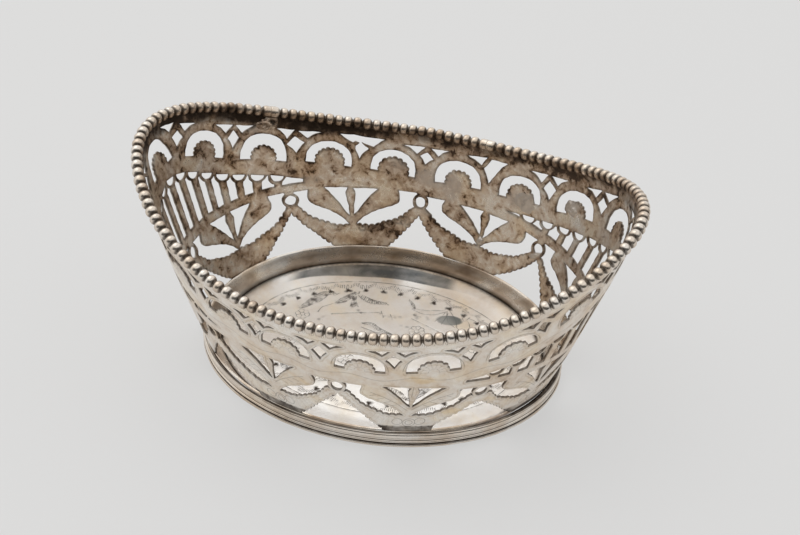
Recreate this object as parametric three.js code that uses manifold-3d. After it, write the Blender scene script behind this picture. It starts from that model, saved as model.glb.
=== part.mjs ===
// Boat-shaped oval bonbon basket of pierced sheet silver: an engraved base plate, a plain sloping foot band,
// a reeded foot moulding, a pierced wall, a beaded rim wire in two lengths and five small old repair plates.
// Millimetres, +Z up. X runs along the length, the origin is on the table under the middle of the basket.
import * as THREE from 'three';
import { mergeVertices } from 'three/addons/utils/BufferGeometryUtils.js';
import Module from 'manifold-3d';

const wasm = await Module();
wasm.setup();

// ---------------------------------------------------------------- driving dimensions
const RIM_A = 75.0;            // half length at the rim line, in the middle of the rim beads
const RIM_B = 53.05;           // half width there
const RIM_EXP = 1.93;          // superellipse exponent of the rim in plan
const RIM_Z_SIDE = 46.82;      // bead centre height at the middle of the long sides
const RIM_Z_END = 65.23;       // bead centre height at the two raised ends
const RIM_SWEEP = 2.63;        // exponent of the rise towards the ends
const FOOT_TOP_A = 54.87;      // half length of the line where the wall stands on the foot band
const FOOT_TOP_B = 44.24;
const FOOT_TOP_Z = 6.0;
const FOOT_LOW_A = 50.5;       // half length of the lower edge of the foot band
const FOOT_LOW_B = 41.3;
const FOOT_LOW_Z = 1.0;
const FOOT_OUT_A = 56.34;      // outer bottom edge of the foot moulding
const FOOT_OUT_B = 44.74;
const SHEET = 0.8;             // sheet thickness of the wall and the foot band
const WALL_BULGE = 0.7;        // how far the wall swells outward at half height
const PLATE_T = 0.7;           // base plate thickness
const PLATE_Z = 0.2;           // underside of the base plate above the table
const PLATE_RISE = 0.6;        // how far the border of the base plate rises
const GAP = 0.3;               // clearance between pieces that are soldered face to face
const BEAD_R = 1.8;            // half thickness of a rim bead, across the wire
const BEAD_DROP = 0.3;         // how far the middle of the beads is below the rim line
const BEAD_NECK = 0.6;         // waist between two beads, as a part of the bead
const BEAD_PITCH = 2.99;
const BEAD_JOINTS = [-16.25, 45.75]; // places where the two lengths of bead wire meet

const WALL_SEGMENTS = 36;
const BAND_SEGMENTS = 60;

// the developed wall: s runs round the basket in millimetres at half height, 0 at the middle of the far long side,
// +90 at the -X end, 180 at the middle of the near long side, -90 (or 270) at the +X end; h climbs the wall
const ROUND = 360;
const ARCHES = [-92.3, -73.3, -52.1, -30.9, -9.8, 11.0, 31.2, 52.1, 71.8, 91.0, 110.0, 129.0, 148.2, 166.0, 186.6, 207.0, 227.6, 248.0];
const RINGS = [1.8, 46.2, 91.0, 136.0, 181.0, 223.0, 269.0, 315.9];
// the tent-shaped opening under each ring: offset, half width on either side, height, fullness of either side
const TENTS = [[0.1, 12.54, 11.38, 12.3, 1.17, 1.32], [0.64, 13.8, 15.3, 13.53, 1.2, 1.3], [0, 13.5, 13.5, 13.4, 1.25, 1.25], [0, 15, 15, 15, 1.45, 1.45],
  [0, 15.5, 15.5, 15.8, 1.45, 1.45], [0, 14.8, 18.5, 13.4, 1.45, 1.8], [0, 13.5, 13.5, 13.6, 1.2, 1.2], [-1.34, 13.05, 14.64, 13.16, 1.63, 1.04]];
const BUDS = [-21.4, 25.6, 69.9, 113.5, 159.2, 202.6, 246.5, 292.5];
const BARS_LEFT = [48.6, 55.7, 61.7, 67.5, 72.9, 78.1, 83.4, 88.6, 93.9, 99.3, 104.9, 110.7, 116.6, 122.6, 128.8, 135.2];
const BARS_LEFT_TIPS = [40.0, 142.0];
const BARS_RIGHT = [225.4, 231.8, 238.0, 244.2, 250.6, 257.0, 263.4, 269.8, 276.2, 282.6, 289.1, 296.0, 303.4, 309.8, 316.9, 324.0];
const BARS_RIGHT_TIPS = [217.1, 332.9];

// ---------------------------------------------------------------- the oval and its developed coordinates
function superOval(theta, a, b, n) {
  const c = Math.cos(theta), s = Math.sin(theta);
  const r = Math.pow(Math.pow(Math.abs(c), n) + Math.pow(Math.abs(s), n), -1 / n);
  return [a * r * c, b * r * s];
}
function rimPoint(theta) {
  const [x, y] = superOval(theta, RIM_A, RIM_B, RIM_EXP);
  const z = RIM_Z_SIDE + (RIM_Z_END - RIM_Z_SIDE) * Math.pow(Math.abs(Math.cos(theta)), RIM_SWEEP);
  return new THREE.Vector3(x, y, z);
}
const footTop = (theta) => new THREE.Vector3(FOOT_TOP_A * Math.cos(theta), FOOT_TOP_B * Math.sin(theta), FOOT_TOP_Z);
const footLow = (theta) => new THREE.Vector3(FOOT_LOW_A * Math.cos(theta), FOOT_LOW_B * Math.sin(theta), FOOT_LOW_Z);

const TABLE = [];
{
  const steps = 7200;
  let length = 0, last = null;
  for (let i = 0; i <= steps; i++) {
    const theta = Math.PI / 2 + (i / steps) * 2 * Math.PI;
    const p = footTop(theta).add(rimPoint(theta)).multiplyScalar(0.5);
    if (last) length += p.distanceTo(last);
    TABLE.push([length, theta]);
    last = p;
  }
  for (const row of TABLE) row[0] *= ROUND / length;
}
function thetaOf(s) {
  const turns = Math.floor(s / ROUND);
  const u = s - turns * ROUND;
  let lo = 0, hi = TABLE.length - 1;
  while (hi - lo > 1) { const mid = (lo + hi) >> 1; if (TABLE[mid][0] <= u) lo = mid; else hi = mid; }
  const f = (u - TABLE[lo][0]) / (TABLE[hi][0] - TABLE[lo][0]);
  return TABLE[lo][1] + f * (TABLE[hi][1] - TABLE[lo][1]) + turns * 2 * Math.PI;
}
const wallLength = (s) => { const t = thetaOf(s); return rimPoint(t).distanceTo(footTop(t)); };

// a point of the wall: s round the basket, h up the wall from the foot band, t outward from the middle of the sheet
function wallPoint(s, h, t) {
  const theta = thetaOf(s);
  const a = footTop(theta), b = rimPoint(theta);
  const rise = b.clone().sub(a), length = rise.length();
  rise.divideScalar(length);
  const e = 1e-3;
  const along = footTop(theta + e).add(rimPoint(theta + e)).sub(a).sub(b);
  const normal = new THREE.Vector3().crossVectors(along, rise).normalize();
  const u = h / length;
  const bulge = Math.max(0, WALL_BULGE * 4 * u * (1 - u));
  return a.addScaledVector(rise, h).addScaledVector(normal, t + bulge);
}
// a point of the sloping foot band: v runs from 0 at its lower edge to 1 at the wall
function bandPoint(theta, v, t) {
  const lo = footLow(theta), hi = footTop(theta);
  const rise = hi.clone().sub(lo);
  const e = 1e-3;
  const along = footTop(theta + e).add(footLow(theta + e)).sub(lo).sub(hi);
  const normal = new THREE.Vector3().crossVectors(along, rise).normalize();
  return lo.addScaledVector(rise, v).addScaledVector(normal, t);
}

// ---------------------------------------------------------------- solids
function toSolid(geometry) {
  const g = geometry.clone();
  g.deleteAttribute('normal');
  g.deleteAttribute('uv');
  const m = mergeVertices(g, 1e-5);
  return new wasm.Manifold(new wasm.Mesh({
    numProp: 3,
    vertProperties: new Float32Array(m.attributes.position.array),
    triVerts: new Uint32Array(m.index.array),
  }));
}
function toGeometry(solid) {
  const m = solid.getMesh();
  const g = new THREE.BufferGeometry();
  const count = m.vertProperties.length / m.numProp;
  const position = new Float32Array(count * 3);
  for (let i = 0; i < count; i++) for (let k = 0; k < 3; k++) position[3 * i + k] = m.vertProperties[i * m.numProp + k];
  g.setAttribute('position', new THREE.BufferAttribute(position, 3));
  g.setIndex(Array.from(m.triVerts));
  g.computeVertexNormals();
  return g;
}
function closed(geometry) {
  const g = geometry.clone();
  g.deleteAttribute('normal');
  g.deleteAttribute('uv');
  const m = mergeVertices(g, 1e-5);
  m.computeVertexNormals();
  return m;
}
// a closed ring swept round the oval: point(theta, j) gives corner j of its section, counted so that it faces out
function ring(corners, segments, point) {
  const profile = [];
  for (let j = 0; j <= corners; j++) {
    const w = (j / corners) * 2 * Math.PI;
    profile.push(new THREE.Vector2(10 + Math.cos(w), Math.sin(w)));
  }
  const g = new THREE.LatheGeometry(profile, segments);
  const pos = g.attributes.position;
  for (let i = 0; i <= segments; i++) {
    const theta = Math.PI / 2 + ((i % segments) / segments) * 2 * Math.PI;
    for (let j = 0; j <= corners; j++) {
      const p = point(theta, j % corners);
      pos.setXYZ(i * (corners + 1) + j, p.x, p.y, p.z);
    }
  }
  return g;
}
// equal steps of s round the basket rather than equal steps of theta
const evenTheta = (theta) => thetaOf(((theta - Math.PI / 2) / (2 * Math.PI)) * ROUND);
// turns a geometry the right way out
function outward(geometry) {
  const g = closed(geometry);
  const p = g.attributes.position, idx = g.index.array;
  const a = new THREE.Vector3(), b = new THREE.Vector3(), c = new THREE.Vector3();
  let volume = 0;
  for (let i = 0; i < idx.length; i += 3) {
    a.fromBufferAttribute(p, idx[i]); b.fromBufferAttribute(p, idx[i + 1]); c.fromBufferAttribute(p, idx[i + 2]);
    volume += a.dot(b.cross(c)) / 6;
  }
  if (volume < 0) for (let i = 0; i < idx.length; i += 3) { const k = idx[i + 1]; idx[i + 1] = idx[i + 2]; idx[i + 2] = k; }
  g.computeVertexNormals();
  return g;
}

// ---------------------------------------------------------------- the pierced pattern, in developed coordinates
const archBase = (s) => wallLength(s) - 15.3 * Math.hypot(1, (wallLength(s + 2) - wallLength(s - 2)) / 4);
const lowBandBottom = (s) => 20.9 + 0.9 * Math.sin((s / ROUND) * 2 * Math.PI) - 0.6 * Math.cos((s / ROUND) * 2 * Math.PI);
// the hand-sawn pattern is a little larger on the near long side: 1 there, 0 on the rest
function nearSide(s) {
  const u = Math.min(1, Math.max(0, (-Math.cos((s / ROUND) * 2 * Math.PI) - 0.2) / 0.5));
  return u * u * (3 - 2 * u);
}
const mix = (a, b, w) => a + (b - a) * w;
const lowBandTop = (s) => lowBandBottom(s) + 3.2;
// lower edge of the wide band that carries the arcade
function mainBandEdge(s) {
  const pts = [[0, 23], [27, 23.4], [33, 24.4], [40, 25.8], [47.5, 27.8], [54, 29.9], [61, 32.5], [68, 35.1], [73.5, 37.6], [78.5, 40.1], [83.5, 42.6], [90, 44.2]];
  const r = Math.abs(((s % 180) + 180) % 180);
  const d = Math.min(r, 180 - r);                   // distance from the middle of the nearest long side
  for (let i = 1; i < pts.length; i++) if (d <= pts[i][0]) {
    const f = (d - pts[i - 1][0]) / (pts[i][0] - pts[i - 1][0]);
    return pts[i - 1][1] + f * (pts[i][1] - pts[i - 1][1]);
  }
  return pts[pts.length - 1][1];
}
const slope = (f, s) => (f(s + 2) - f(s - 2)) / 4;
function placed(points, s0, h0, tilt) {
  const c = Math.cos(tilt), n = Math.sin(tilt);
  return points.map(([x, y]) => [s0 + x * c - y * n, h0 + x * n + y * c]);
}
const mirror = (points) => points.map(([x, y]) => [-x, y]).reverse();

// the name of a place in the tables: s from -180 to 180 with one decimal
const keyOf = (s) => { const k = Math.round(((((s + 180) % 360) + 360) % 360 - 180) * 10) / 10; return String(k === 0 ? 0 : k); };
// a loop moved by (ds, dh), stretched by (kx, ky) and turned about its own middle
function adjusted(points, fit) {
  if (!fit) return points;
  const [ds, dh, kx, ky, turn] = fit, n = points.length;
  const cx = points.reduce((a, q) => a + q[0], 0) / n, cy = points.reduce((a, q) => a + q[1], 0) / n;
  return placed(points.map(([x, y]) => [(x - cx) * kx, (y - cy) * ky]), cx + ds, cy + dh, turn || 0);
}

// where each arch really sits: along, up, turn, half width, height, rosette radius and the height of its centre
const ARCH_FIT = { '-92.3': [0, 0.6, 0, 7.6, 8.2, 3.9, 0.7], '-73.3': [-1.92, -0.22, 0, 8.18, 8.56, 3.64, 0.9], '-52.1': [-0.57, -0.41, -0.03, 8.6, 8.03, 3.88, 0.5],
  '-30.9': [0.06, -0.55, -0.015, 7.59, 8.05, 4.49, 0.56], '-9.8': [0.1, -0.94, -0.055, 7.58, 8.26, 4.01, 0.79], '11': [0.08, -0.75, 0.064, 6.8, 8.0, 4.57, 0.75],
  '31.2': [-0.36, -0.4, 0, 6.85, 7.9, 4.33, 0.99], '52.1': [-0.47, -1.64, -0.047, 7.6, 8.95, 3.94, 0.84], '71.8': [-0.6, -1.3, 0.119, 7.32, 8.4, 3.81, 1.07],
  '91': [-1.0, 0.2, -0.01, 7.05, 9.8, 3.8, 1.8], '110': [0, 1.5, 0, 7.3, 7.0, 3.8, 0.4], '129': [0, 1.8, 0, 7.2, 6.8, 3.8, 0.2],
  '148.2': [0, 1.7, 0, 7.1, 6.6, 3.8, 0.1], '166': [0.7, 2.0, 0.01, 7.1, 6.35, 3.85, 0.1], '186.6': [0.9, 1.45, -0.027, 6.75, 6.5, 3.75, 0.05],
  '207': [0, 1.1, -0.04, 7.2, 7.4, 3.95, 0.1], '227.6': [0.8, 0.5, -0.05, 7.0, 6.9, 3.9, 0.2], '248': [0.3, 1.0, 0, 7.2, 7.3, 3.9, 0.4] };
// some arches are wider on the side of growing s
const ARCH_WIDE = { '11': 1.05, '31.2': 1.1, '52.1': 1.06, '71.8': 1.07 };
function archOpening(s0) {
  const [ds, dh, dt, w, top, r, rc] = ARCH_FIT[String(s0)], pts = [], k = top / 8.4;
  const left = [[-w, 0], [-0.95 * w, 3.4 * Math.min(1, k * 1.05)], [-0.68 * w, 6.75 * k], [0, top]];
  const wide = ARCH_WIDE[String(s0)] || 1;
  pts.push(...left, ...mirror(left).slice(1).map(([x, y]) => [x * wide, y]));
  for (const a of [[r + 0.4, 0], [(r + 0.3) * 0.77, rc + (r + 0.3) * 0.64], [0, rc + r + 0.3]]) pts.push(a);
  pts.push([-(r + 0.3) * 0.77, rc + (r + 0.3) * 0.64], [-(r + 0.4), 0]);
  return placed(pts, s0 + ds, archBase(s0) + dh, Math.atan(slope(archBase, s0)) + dt);
}
const rimLine = (s) => { const g = (wallLength(s + 2) - wallLength(s - 2)) / 4; return wallLength(s) - mix(5.4, 4.9 * (1 + g * g), nearSide(s)); };
// two side triangles and a kite between each two arches; measured places: the middle, the stretch and the turn of each
const SPANDREL_FIT = { 81.4: [[73.37, 53.63, 1.436, 1.176, 0.45], [81.18, 57.13, 1.441, 1.215, 0.24], [78.74, 51.67, 1.317, 1.181, 0.47]],
  61.95: [[54.64, 45.64, 1.448, 1.153, 0.315], [61.51, 48.09, 1.355, 1.254, 0.336], [59.67, 42.92, 1.03, 1.366, 0.32]],
  41.65: [[35.1, 39.65, 1.599, 1.075, 0.177], [42.67, 41.33, 1.255, 1.475, 0.263], [40.27, 36.29, 1.532, 1.247, 0.048]],
  0.6: [[-3.0, 35.53, 1.27, 1.107, -0.049], [5.04, 35.3, 1.468, 1.202, -0.029], [1.02, 32.27, 1.131, 0.932, 0.085]],
  '-41.5': [[-41.95, 41.47, 1.511, 1.294, -0.276], [-34.46, 39.36, 1.426, 1.493, -0.268], [-39.76, 36.23, 1.355, 1.486, -0.354]],
  '-62.7': [[-63.57, 49.6, 1.776, 1.367, -0.433], [-55.43, 46.14, 1.695, 1.258, -0.461], [-61.55, 44.33, 1.481, 1.342, -0.467]] };
const TRIO = [[[-5.4, 0.05], [-0.95, 0], [-2.7, -2.25]], [[0.95, 0], [5.4, 0.05], [2.7, -2.25]], [[0.05, -1.45], [1.95, -3.45], [0.15, -6.1], [-1.85, -3.45]]];
const TRIO_MIDDLE = [[-3.12, -0.72], [3.12, -0.72], [0.06, -3.77]];
function spandrelOpenings(s0) {
  // two places have lost a strut, so their openings run together
  if (Math.abs(s0 - 21.1) < 1.5) {
    return [adjusted([[14.0, 37.6], [26.0, 39.3], [22.4, 36.2], [21.2, 30.9], [18.6, 34.2], [17.1, 34.9]].reverse(), [0, -0.45, 1.05, 1.03, 0])];
  }
  if (Math.abs(s0 + 20.4) < 1.5) {
    return [[[-23.7, 38.4], [-18.5, 37.9], [-16.7, 33.9], [-19.1, 29.4], [-20.7, 32.9]].reverse(), adjusted([[-17.0, 37.9], [-11.8, 37.3], [-15.6, 35.0]].reverse(), [0.3, -0.3, 1.1, 1.1, -0.1])];
  }
  const name = Object.keys(SPANDREL_FIT).find((k) => Math.abs(Number(k) - Number(keyOf(s0))) < 0.5);
  if (name) return TRIO.map((p, i) => {
    const [s, h, kx, ky, turn] = SPANDREL_FIT[name][i], [cx, cy] = TRIO_MIDDLE[i];
    return placed(p.map(([x, y]) => [(x - cx) * kx, (y - cy) * ky]), s, h, turn);
  });
  const tilt = Math.atan(slope(rimLine, s0));
  const s1 = s0 - 11.6 * Math.sin(tilt) + (Math.abs(s0 - 176.3) < 1 ? 0.4 : 0), n = nearSide(s1), h1 = rimLine(s1) - mix(0.3, 0, n);
  return TRIO.map((p, i) => {
    const [cx, cy] = TRIO_MIDDLE[i];
    const [kx, ky] = i < 2 ? [mix(1.4, 1.22, n), mix(1.2, 0.9, n)] : [mix(1.3, 1.08, n), mix(1.25, 1.2, n)];
    const q = p.map(([x, y]) => [(x - cx) * kx + cx * (i < 2 ? 1.12 : 1), (y - cy) * ky]);
    const ys = q.map((c) => c[1]), lift = i === 2 ? -6.95 * mix(1, 1.03, n) - Math.min(...ys) : -Math.max(...ys);
    return placed(q.map(([x, y]) => [x, y + lift]), s1, h1, tilt);
  });
}

const RING_FIT = { 91: [0.2, -1.0, 1.13, 1.01], 46.2: [-0.2, -0.72, 1.16, 0.89], 1.8: [-0.03, -0.71, 0.956, 0.986], '-44.1': [-0.19, -0.61, 1.17, 1.0] };
const LEAF_FIT = { 69.9: [[-0.45, -1.3, 1.15, 1.14, 0.015], [0.08, -1.34, 1.05, 1.126, 0.044]], 25.6: [[-0.6, -1.09, 1.12, 1.11, 0], [-0.15, -0.93, 1.033, 1.179, 0.068]],
  '-21.4': [[0.02, -0.74, 1.01, 1.065, -0.058], [0.3, -0.56, 1.119, 1.047, -0.078]], '-67.5': [null, [0.485, -0.083, 1.2, 1.005, -0.062]] };
const GARLAND_FIT = { '91,69.9': [-0.05, -0.67, 1.104, 0.943, 0], '91,113.5': [0, -0.4, 1, 1, 0], '46.2,69.9': [0.42, -0.5, 1.1, 1.078, 0.077], '46.2,25.6': [0.025, -0.457, 1.023, 0.978, 0],
  '1.8,25.6': [-0.09, -0.525, 1.014, 1.053, 0.042], '1.8,-21.4': [-0.8, -0.87, 1.06, 1.011, -0.048], '-44.1,-21.4': [0.35, -0.95, 0.989, 1.14, 0.12], '-44.1,-67.5': [-0.02, 0.2, 0.92, 1.04, -0.12] };
const MOON_FIT = { 48.6: [-0.11, -1.05, 1.081, 1.094], 55.7: [-0.74, -1.5, 1.15, 1.07], 61.7: [-0.5, -1.6, 1.108, 1.045], 67.5: [-0.66, -1.5, 1.13, 1.1], 72.9: [-0.7, -0.97, 1.077, 1.047],
  78.1: [-0.75, -0.72, 1.048, 1.072], 83.4: [-1.0, -0.9, 1.09, 1.1], 88.6: [-0.8, -0.8, 1.1, 1.15], 93.9: [-0.4, -0.5, 1, 1], '-77.4': [0.6, -0.12, 0.95, 1.04],
  '-70.9': [-0.05, 0, 1.15, 1.11], '-64': [-0.3, 0.2, 1.18, 1.09], '-56.6': [-0.7, 0, 1.2, 1.13], '-50.2': [-0.29, -0.06, 1.16, 1.03], '-43.1': [-0.36, -0.19, 1.14, 1.15],
  '-36': [0.1, -0.22, 1.18, 1.06] };

function ringPlace(s0) {
  const [ds, dh, kx, ky] = RING_FIT[keyOf(s0)] || [0, 0, 1, 1];
  return [s0 + ds, lowBandBottom(s0) - mix(2.6, 2.1, nearSide(s0)) + dh, 1.72 * kx, 1.86 * ky];
}
function ringOpening(s0) {
  const pts = [], [s, h, rx, ry] = ringPlace(s0);
  for (let i = 0; i < 6; i++) { const a = ((i + 0.5) / 6) * 2 * Math.PI; pts.push([s + rx * 1.04 * Math.cos(a), h + ry * 1.04 * Math.sin(a)]); }
  return pts;
}
function tentOpening(s0, ds, low, high, apex, fLow, fHigh) {
  const side = (half, f) => {
    const foot = 0.186 * apex * f;
    return [[0, apex], [-0.317 * half, 0.535 * apex * (1 + 0.55 * (f - 1))], [-0.7 * half, foot], [-half - (0.45 * half) / foot, -1.5]];
  };
  const left = side(low, fLow);
  if (Math.abs(s0 - 223) < 1) left.splice(2, 2, [-11.2, 2.6], [-11.2, -1.5]);   // this foot is cut off square
  return [...left, ...mirror(side(high, fHigh).slice(1))].map(([x, y]) => [s0 + ds + x, y]);
}
function leafOpenings(s0) {
  const n = nearSide(s0), b = lowBandBottom(s0) + 0.9 * n, w = mix(1, 1.06, n);
  const left = [[-8.4 * w, b], [-1.0, b], [-1.6, b - 1.9], [-0.95, b - 5.1], [mix(-0.65, -0.4, n), b - 8.3 * mix(1, 1.1, n)], [-3.8 * w, b - 4.7]];
  const fit = LEAF_FIT[keyOf(s0)] || [null, null];
  return [left, mirror(left)].map((p, i) => adjusted(p.map(([x, y]) => [s0 + 0.35 * n + x, y]), fit[i]));
}
// the long opening between a garland and a leaf, drawn from the ring at s0 towards the bud at s1; the wire of the ring is left
function garlandOpening(s0, s1) {
  const d = s1 - s0, b0 = lowBandBottom(s0) - 20.3, w = nearSide(s0), sign = Math.sign(d);
  const pts = [[0.157, 20.3, 0], [0.14, 17.2, 0.6], [0.14, 15.0, 1.8], [0.27, 12.1, 2.0], [0.5, 9.4, 1.2], [0.7, 7.9, 0.6], [0.93, 7.8, 0.8],
    [0.8, 10.7, 0.5], [0.62, 12.9, 0.5], [0.39, 15.2, 0.4], [0.31, 17.3, 0.2], [0.337, 20.3, 0]];
  const p = adjusted(pts.map(([q, h, more]) => [s0 + q * d, h + more * w + b0 * Math.min(1, Math.max(0, (h - 8) / 12))]), GARLAND_FIT[keyOf(s0) + ',' + keyOf(s1)]);
  const [rs, rh, rx, ry] = ringPlace(s0), topY = p[p.length - 1][1];
  const arc = [50, 5, -42].map((t) => [rs + sign * (rx + 1.05) * Math.cos(t * Math.PI / 180), rh + (ry + 1.05) * Math.sin(t * Math.PI / 180)]).filter((q) => q[1] < topY - 0.2);
  return [[rs + sign * ((rx + 1.05) * 0.5 + 0.3), topY], ...arc, ...p.slice(2)];
}
function halfMoon(s0) {
  const tilt = Math.atan(slope(mainBandEdge, s0)), pts = [];
  for (let i = 0; i <= 3; i++) { const a = Math.PI + (Math.PI * i) / 3; pts.push([2.1 * Math.cos(a), 2.0 * Math.sin(a)]); }
  return adjusted(placed(pts, s0, mainBandEdge(s0), tilt), MOON_FIT[keyOf(s0)]);
}
// the opening between two bars; its top is the pointed arch left by the forked bar heads
function barOpening(c0, c1, first, last) {
  const left = first ? c0 : c0 + 1.3, right = last ? c1 : c1 - 1.3, n = 2, list = [];
  const sm = Number(keyOf((left + right) / 2));
  const [down, ds, lean] = 55 < sm && sm < 73 ? [1.05, 0.4, 1.0] : (40 < sm && sm < 100 ? [0.9, -0.1, 1.1] : (-76 < sm && sm < -30 ? [0.15, -0.9, 0.3] : [0, 0, 0]));
  const off = ds - lean / 2, moons = [];
  for (const [c, skip] of [[c0, first], [c1, last]]) if (!skip) {
    const m = halfMoon(c);
    m.forEach((q, i) => { const r = m[(i + 1) % m.length]; for (const f of [0, 0.25, 0.5, 0.75]) moons.push([q[0] + (r[0] - q[0]) * f, q[1] + (r[1] - q[1]) * f]); });
  }
  for (let i = 0; i <= n; i++) {
    const s = left + ((right - left) * i) / n;
    let y = mainBandEdge(s + off) - 0.35 - down;
    for (const [mx, my] of moons) { const g = 0.64 - (mx - s - off) ** 2; if (g > 0) y = Math.min(y, my - Math.sqrt(g)); }
    const low = lowBandTop(s) - down * 0.9;
    list.push([s, Math.max(y, low + 0.02), low]);
  }
  if (!list.some(([, y, low]) => y - low > 0.4)) return null;
  const top = list.map(([s, y, low]) => [s + ds + lean / 2 - lean * Math.min(1, (y - low) / 14), y]);
  return [...top, [right + ds + lean / 2, list[n][2]], [left + ds + lean / 2, list[0][2]]];
}

function allOpenings() {
  const list = [];
  const n = ARCHES.length;
  for (let i = 0; i < n; i++) {
    list.push(archOpening(ARCHES[i]));
    const next = i + 1 < n ? ARCHES[i + 1] : ARCHES[0] + ROUND;
    list.push(...spandrelOpenings((ARCHES[i] + next) / 2));
  }
  for (let i = 0; i < RINGS.length; i++) {
    const r = RINGS[i];
    list.push(ringOpening(r), tentOpening(r, ...TENTS[i]));
    const ahead = BUDS.map((b) => { let d = b - r; while (d < 0) d += ROUND; return d; });
    const behind = BUDS.map((b) => { let d = r - b; while (d < 0) d += ROUND; return d; });
    list.push(garlandOpening(r, r + Math.min(...ahead)), garlandOpening(r, r - Math.min(...behind)));
  }
  for (const b of BUDS) list.push(...leafOpenings(b));
  for (const [bars, tips] of [[BARS_LEFT, BARS_LEFT_TIPS], [BARS_RIGHT, BARS_RIGHT_TIPS]]) {
    for (const c of bars) list.push(halfMoon(c));
    const stops = [tips[0], ...bars, tips[1]];
    for (let i = 1; i < stops.length; i++) {
      const o = barOpening(stops[i - 1], stops[i], i === 1, i === stops.length - 1);
      if (o) list.push(o);
    }
  }
  return list;
}
// long edges are divided so that the cut follows the curve of the wall
function divided(points, longest) {
  const out = [];
  for (let i = 0; i < points.length; i++) {
    const p = points[i], q = points[(i + 1) % points.length];
    const k = Math.max(1, Math.ceil(Math.hypot(q[0] - p[0], q[1] - p[1]) / longest));
    for (let j = 0; j < k; j++) out.push([p[0] + ((q[0] - p[0]) * j) / k, p[1] + ((q[1] - p[1]) * j) / k]);
  }
  return out;
}
function warped(points, t0, t1) {
  const shape = new THREE.Shape(points.map(([x, y]) => new THREE.Vector2(x, y)));
  const g = new THREE.ExtrudeGeometry(shape, { depth: 1, steps: 1, bevelEnabled: false });
  const pos = g.attributes.position;
  for (let i = 0; i < pos.count; i++) {
    const p = wallPoint(pos.getX(i), pos.getY(i), t0 + (t1 - t0) * pos.getZ(i));
    pos.setXYZ(i, p.x, p.y, p.z);
  }
  return outward(g);
}

// the saw cut of one opening: straight through the sheet, square to it at the middle of the opening
function sawCut(points, reach) {
  const shape = new THREE.Shape(points.map(([x, y]) => new THREE.Vector2(x, y)));
  const g = new THREE.ExtrudeGeometry(shape, { depth: 1, steps: 1, bevelEnabled: false });
  const s0 = points.reduce((a, p) => a + p[0], 0) / points.length, h0 = points.reduce((a, p) => a + p[1], 0) / points.length;
  const through = wallPoint(s0, h0, 1).sub(wallPoint(s0, h0, 0));
  const pos = g.attributes.position;
  for (let i = 0; i < pos.count; i++) {
    const p = wallPoint(pos.getX(i), pos.getY(i), 0).addScaledVector(through, reach * (2 * pos.getZ(i) - 1));
    pos.setXYZ(i, p.x, p.y, p.z);
  }
  return outward(g);
}

// ---------------------------------------------------------------- the pieces
function piercedWall() {
  const rows = 2, half = SHEET / 2;
  const body = outward(ring(2 * rows + 2, WALL_SEGMENTS, (theta, j) => {
    const s = ((theta - Math.PI / 2) / (2 * Math.PI)) * ROUND;
    const top = wallLength(s) - BEAD_DROP - BEAD_R - GAP;
    return j <= rows ? wallPoint(s, (top * j) / rows, half) : wallPoint(s, (top * (2 * rows + 1 - j)) / rows, -half);
  }));
  let solid = toSolid(body);
  for (const points of allOpenings()) solid = solid.subtract(toSolid(sawCut(divided(points, 10), 4)));
  return toGeometry(solid);
}

function footBand() {
  const half = SHEET / 2;
  return outward(ring(4, BAND_SEGMENTS, (theta, j) => {
    const th = evenTheta(theta);
    const top = 1 - GAP / footTop(th).distanceTo(footLow(th));
    return [() => bandPoint(th, 0, half), () => bandPoint(th, top, half), () => bandPoint(th, top, -half), () => bandPoint(th, 0, -half)][j]();
  }));
}

// section of the foot moulding, outward from the outer bottom edge and up from the table
const MOULD_OUTER = [[-0.05, 0], [0, 0.6], [-0.5, 1.1], [-0.15, 1.7], [-0.15, 2.0], [-0.45, 2.3], [-0.4, 3.0], [0.1, 3.6], [0.05, 4.4], [-0.3, 5.05]];
const MOULD_INNER_Z = [5.05, 3.6, 0];
const MOULD_WEB = 1.9;
function footMoulding() {
  const corners = MOULD_OUTER.length + MOULD_INNER_Z.length;
  return outward(ring(corners, BAND_SEGMENTS, (theta, j) => {
    const th = evenTheta(theta);
    const edge = new THREE.Vector3(FOOT_OUT_A * Math.cos(th), FOOT_OUT_B * Math.sin(th), 0);
    const n = new THREE.Vector3(Math.cos(th) / FOOT_OUT_A, Math.sin(th) / FOOT_OUT_B, 0).normalize();
    if (j < MOULD_OUTER.length) return edge.addScaledVector(n, MOULD_OUTER[j][0]).setZ(MOULD_OUTER[j][1]);
    const z = MOULD_INNER_Z[j - MOULD_OUTER.length];
    const v = Math.max(0, (z - FOOT_LOW_Z) / (FOOT_TOP_Z - FOOT_LOW_Z));
    const face = bandPoint(th, v + 0.06, SHEET / 2 + GAP * 1.25);
    const inward = Math.max(face.sub(edge).dot(n) + 0.1, -MOULD_WEB);
    return edge.addScaledVector(n, Math.min(inward, -0.5)).setZ(z);
  }));
}

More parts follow.
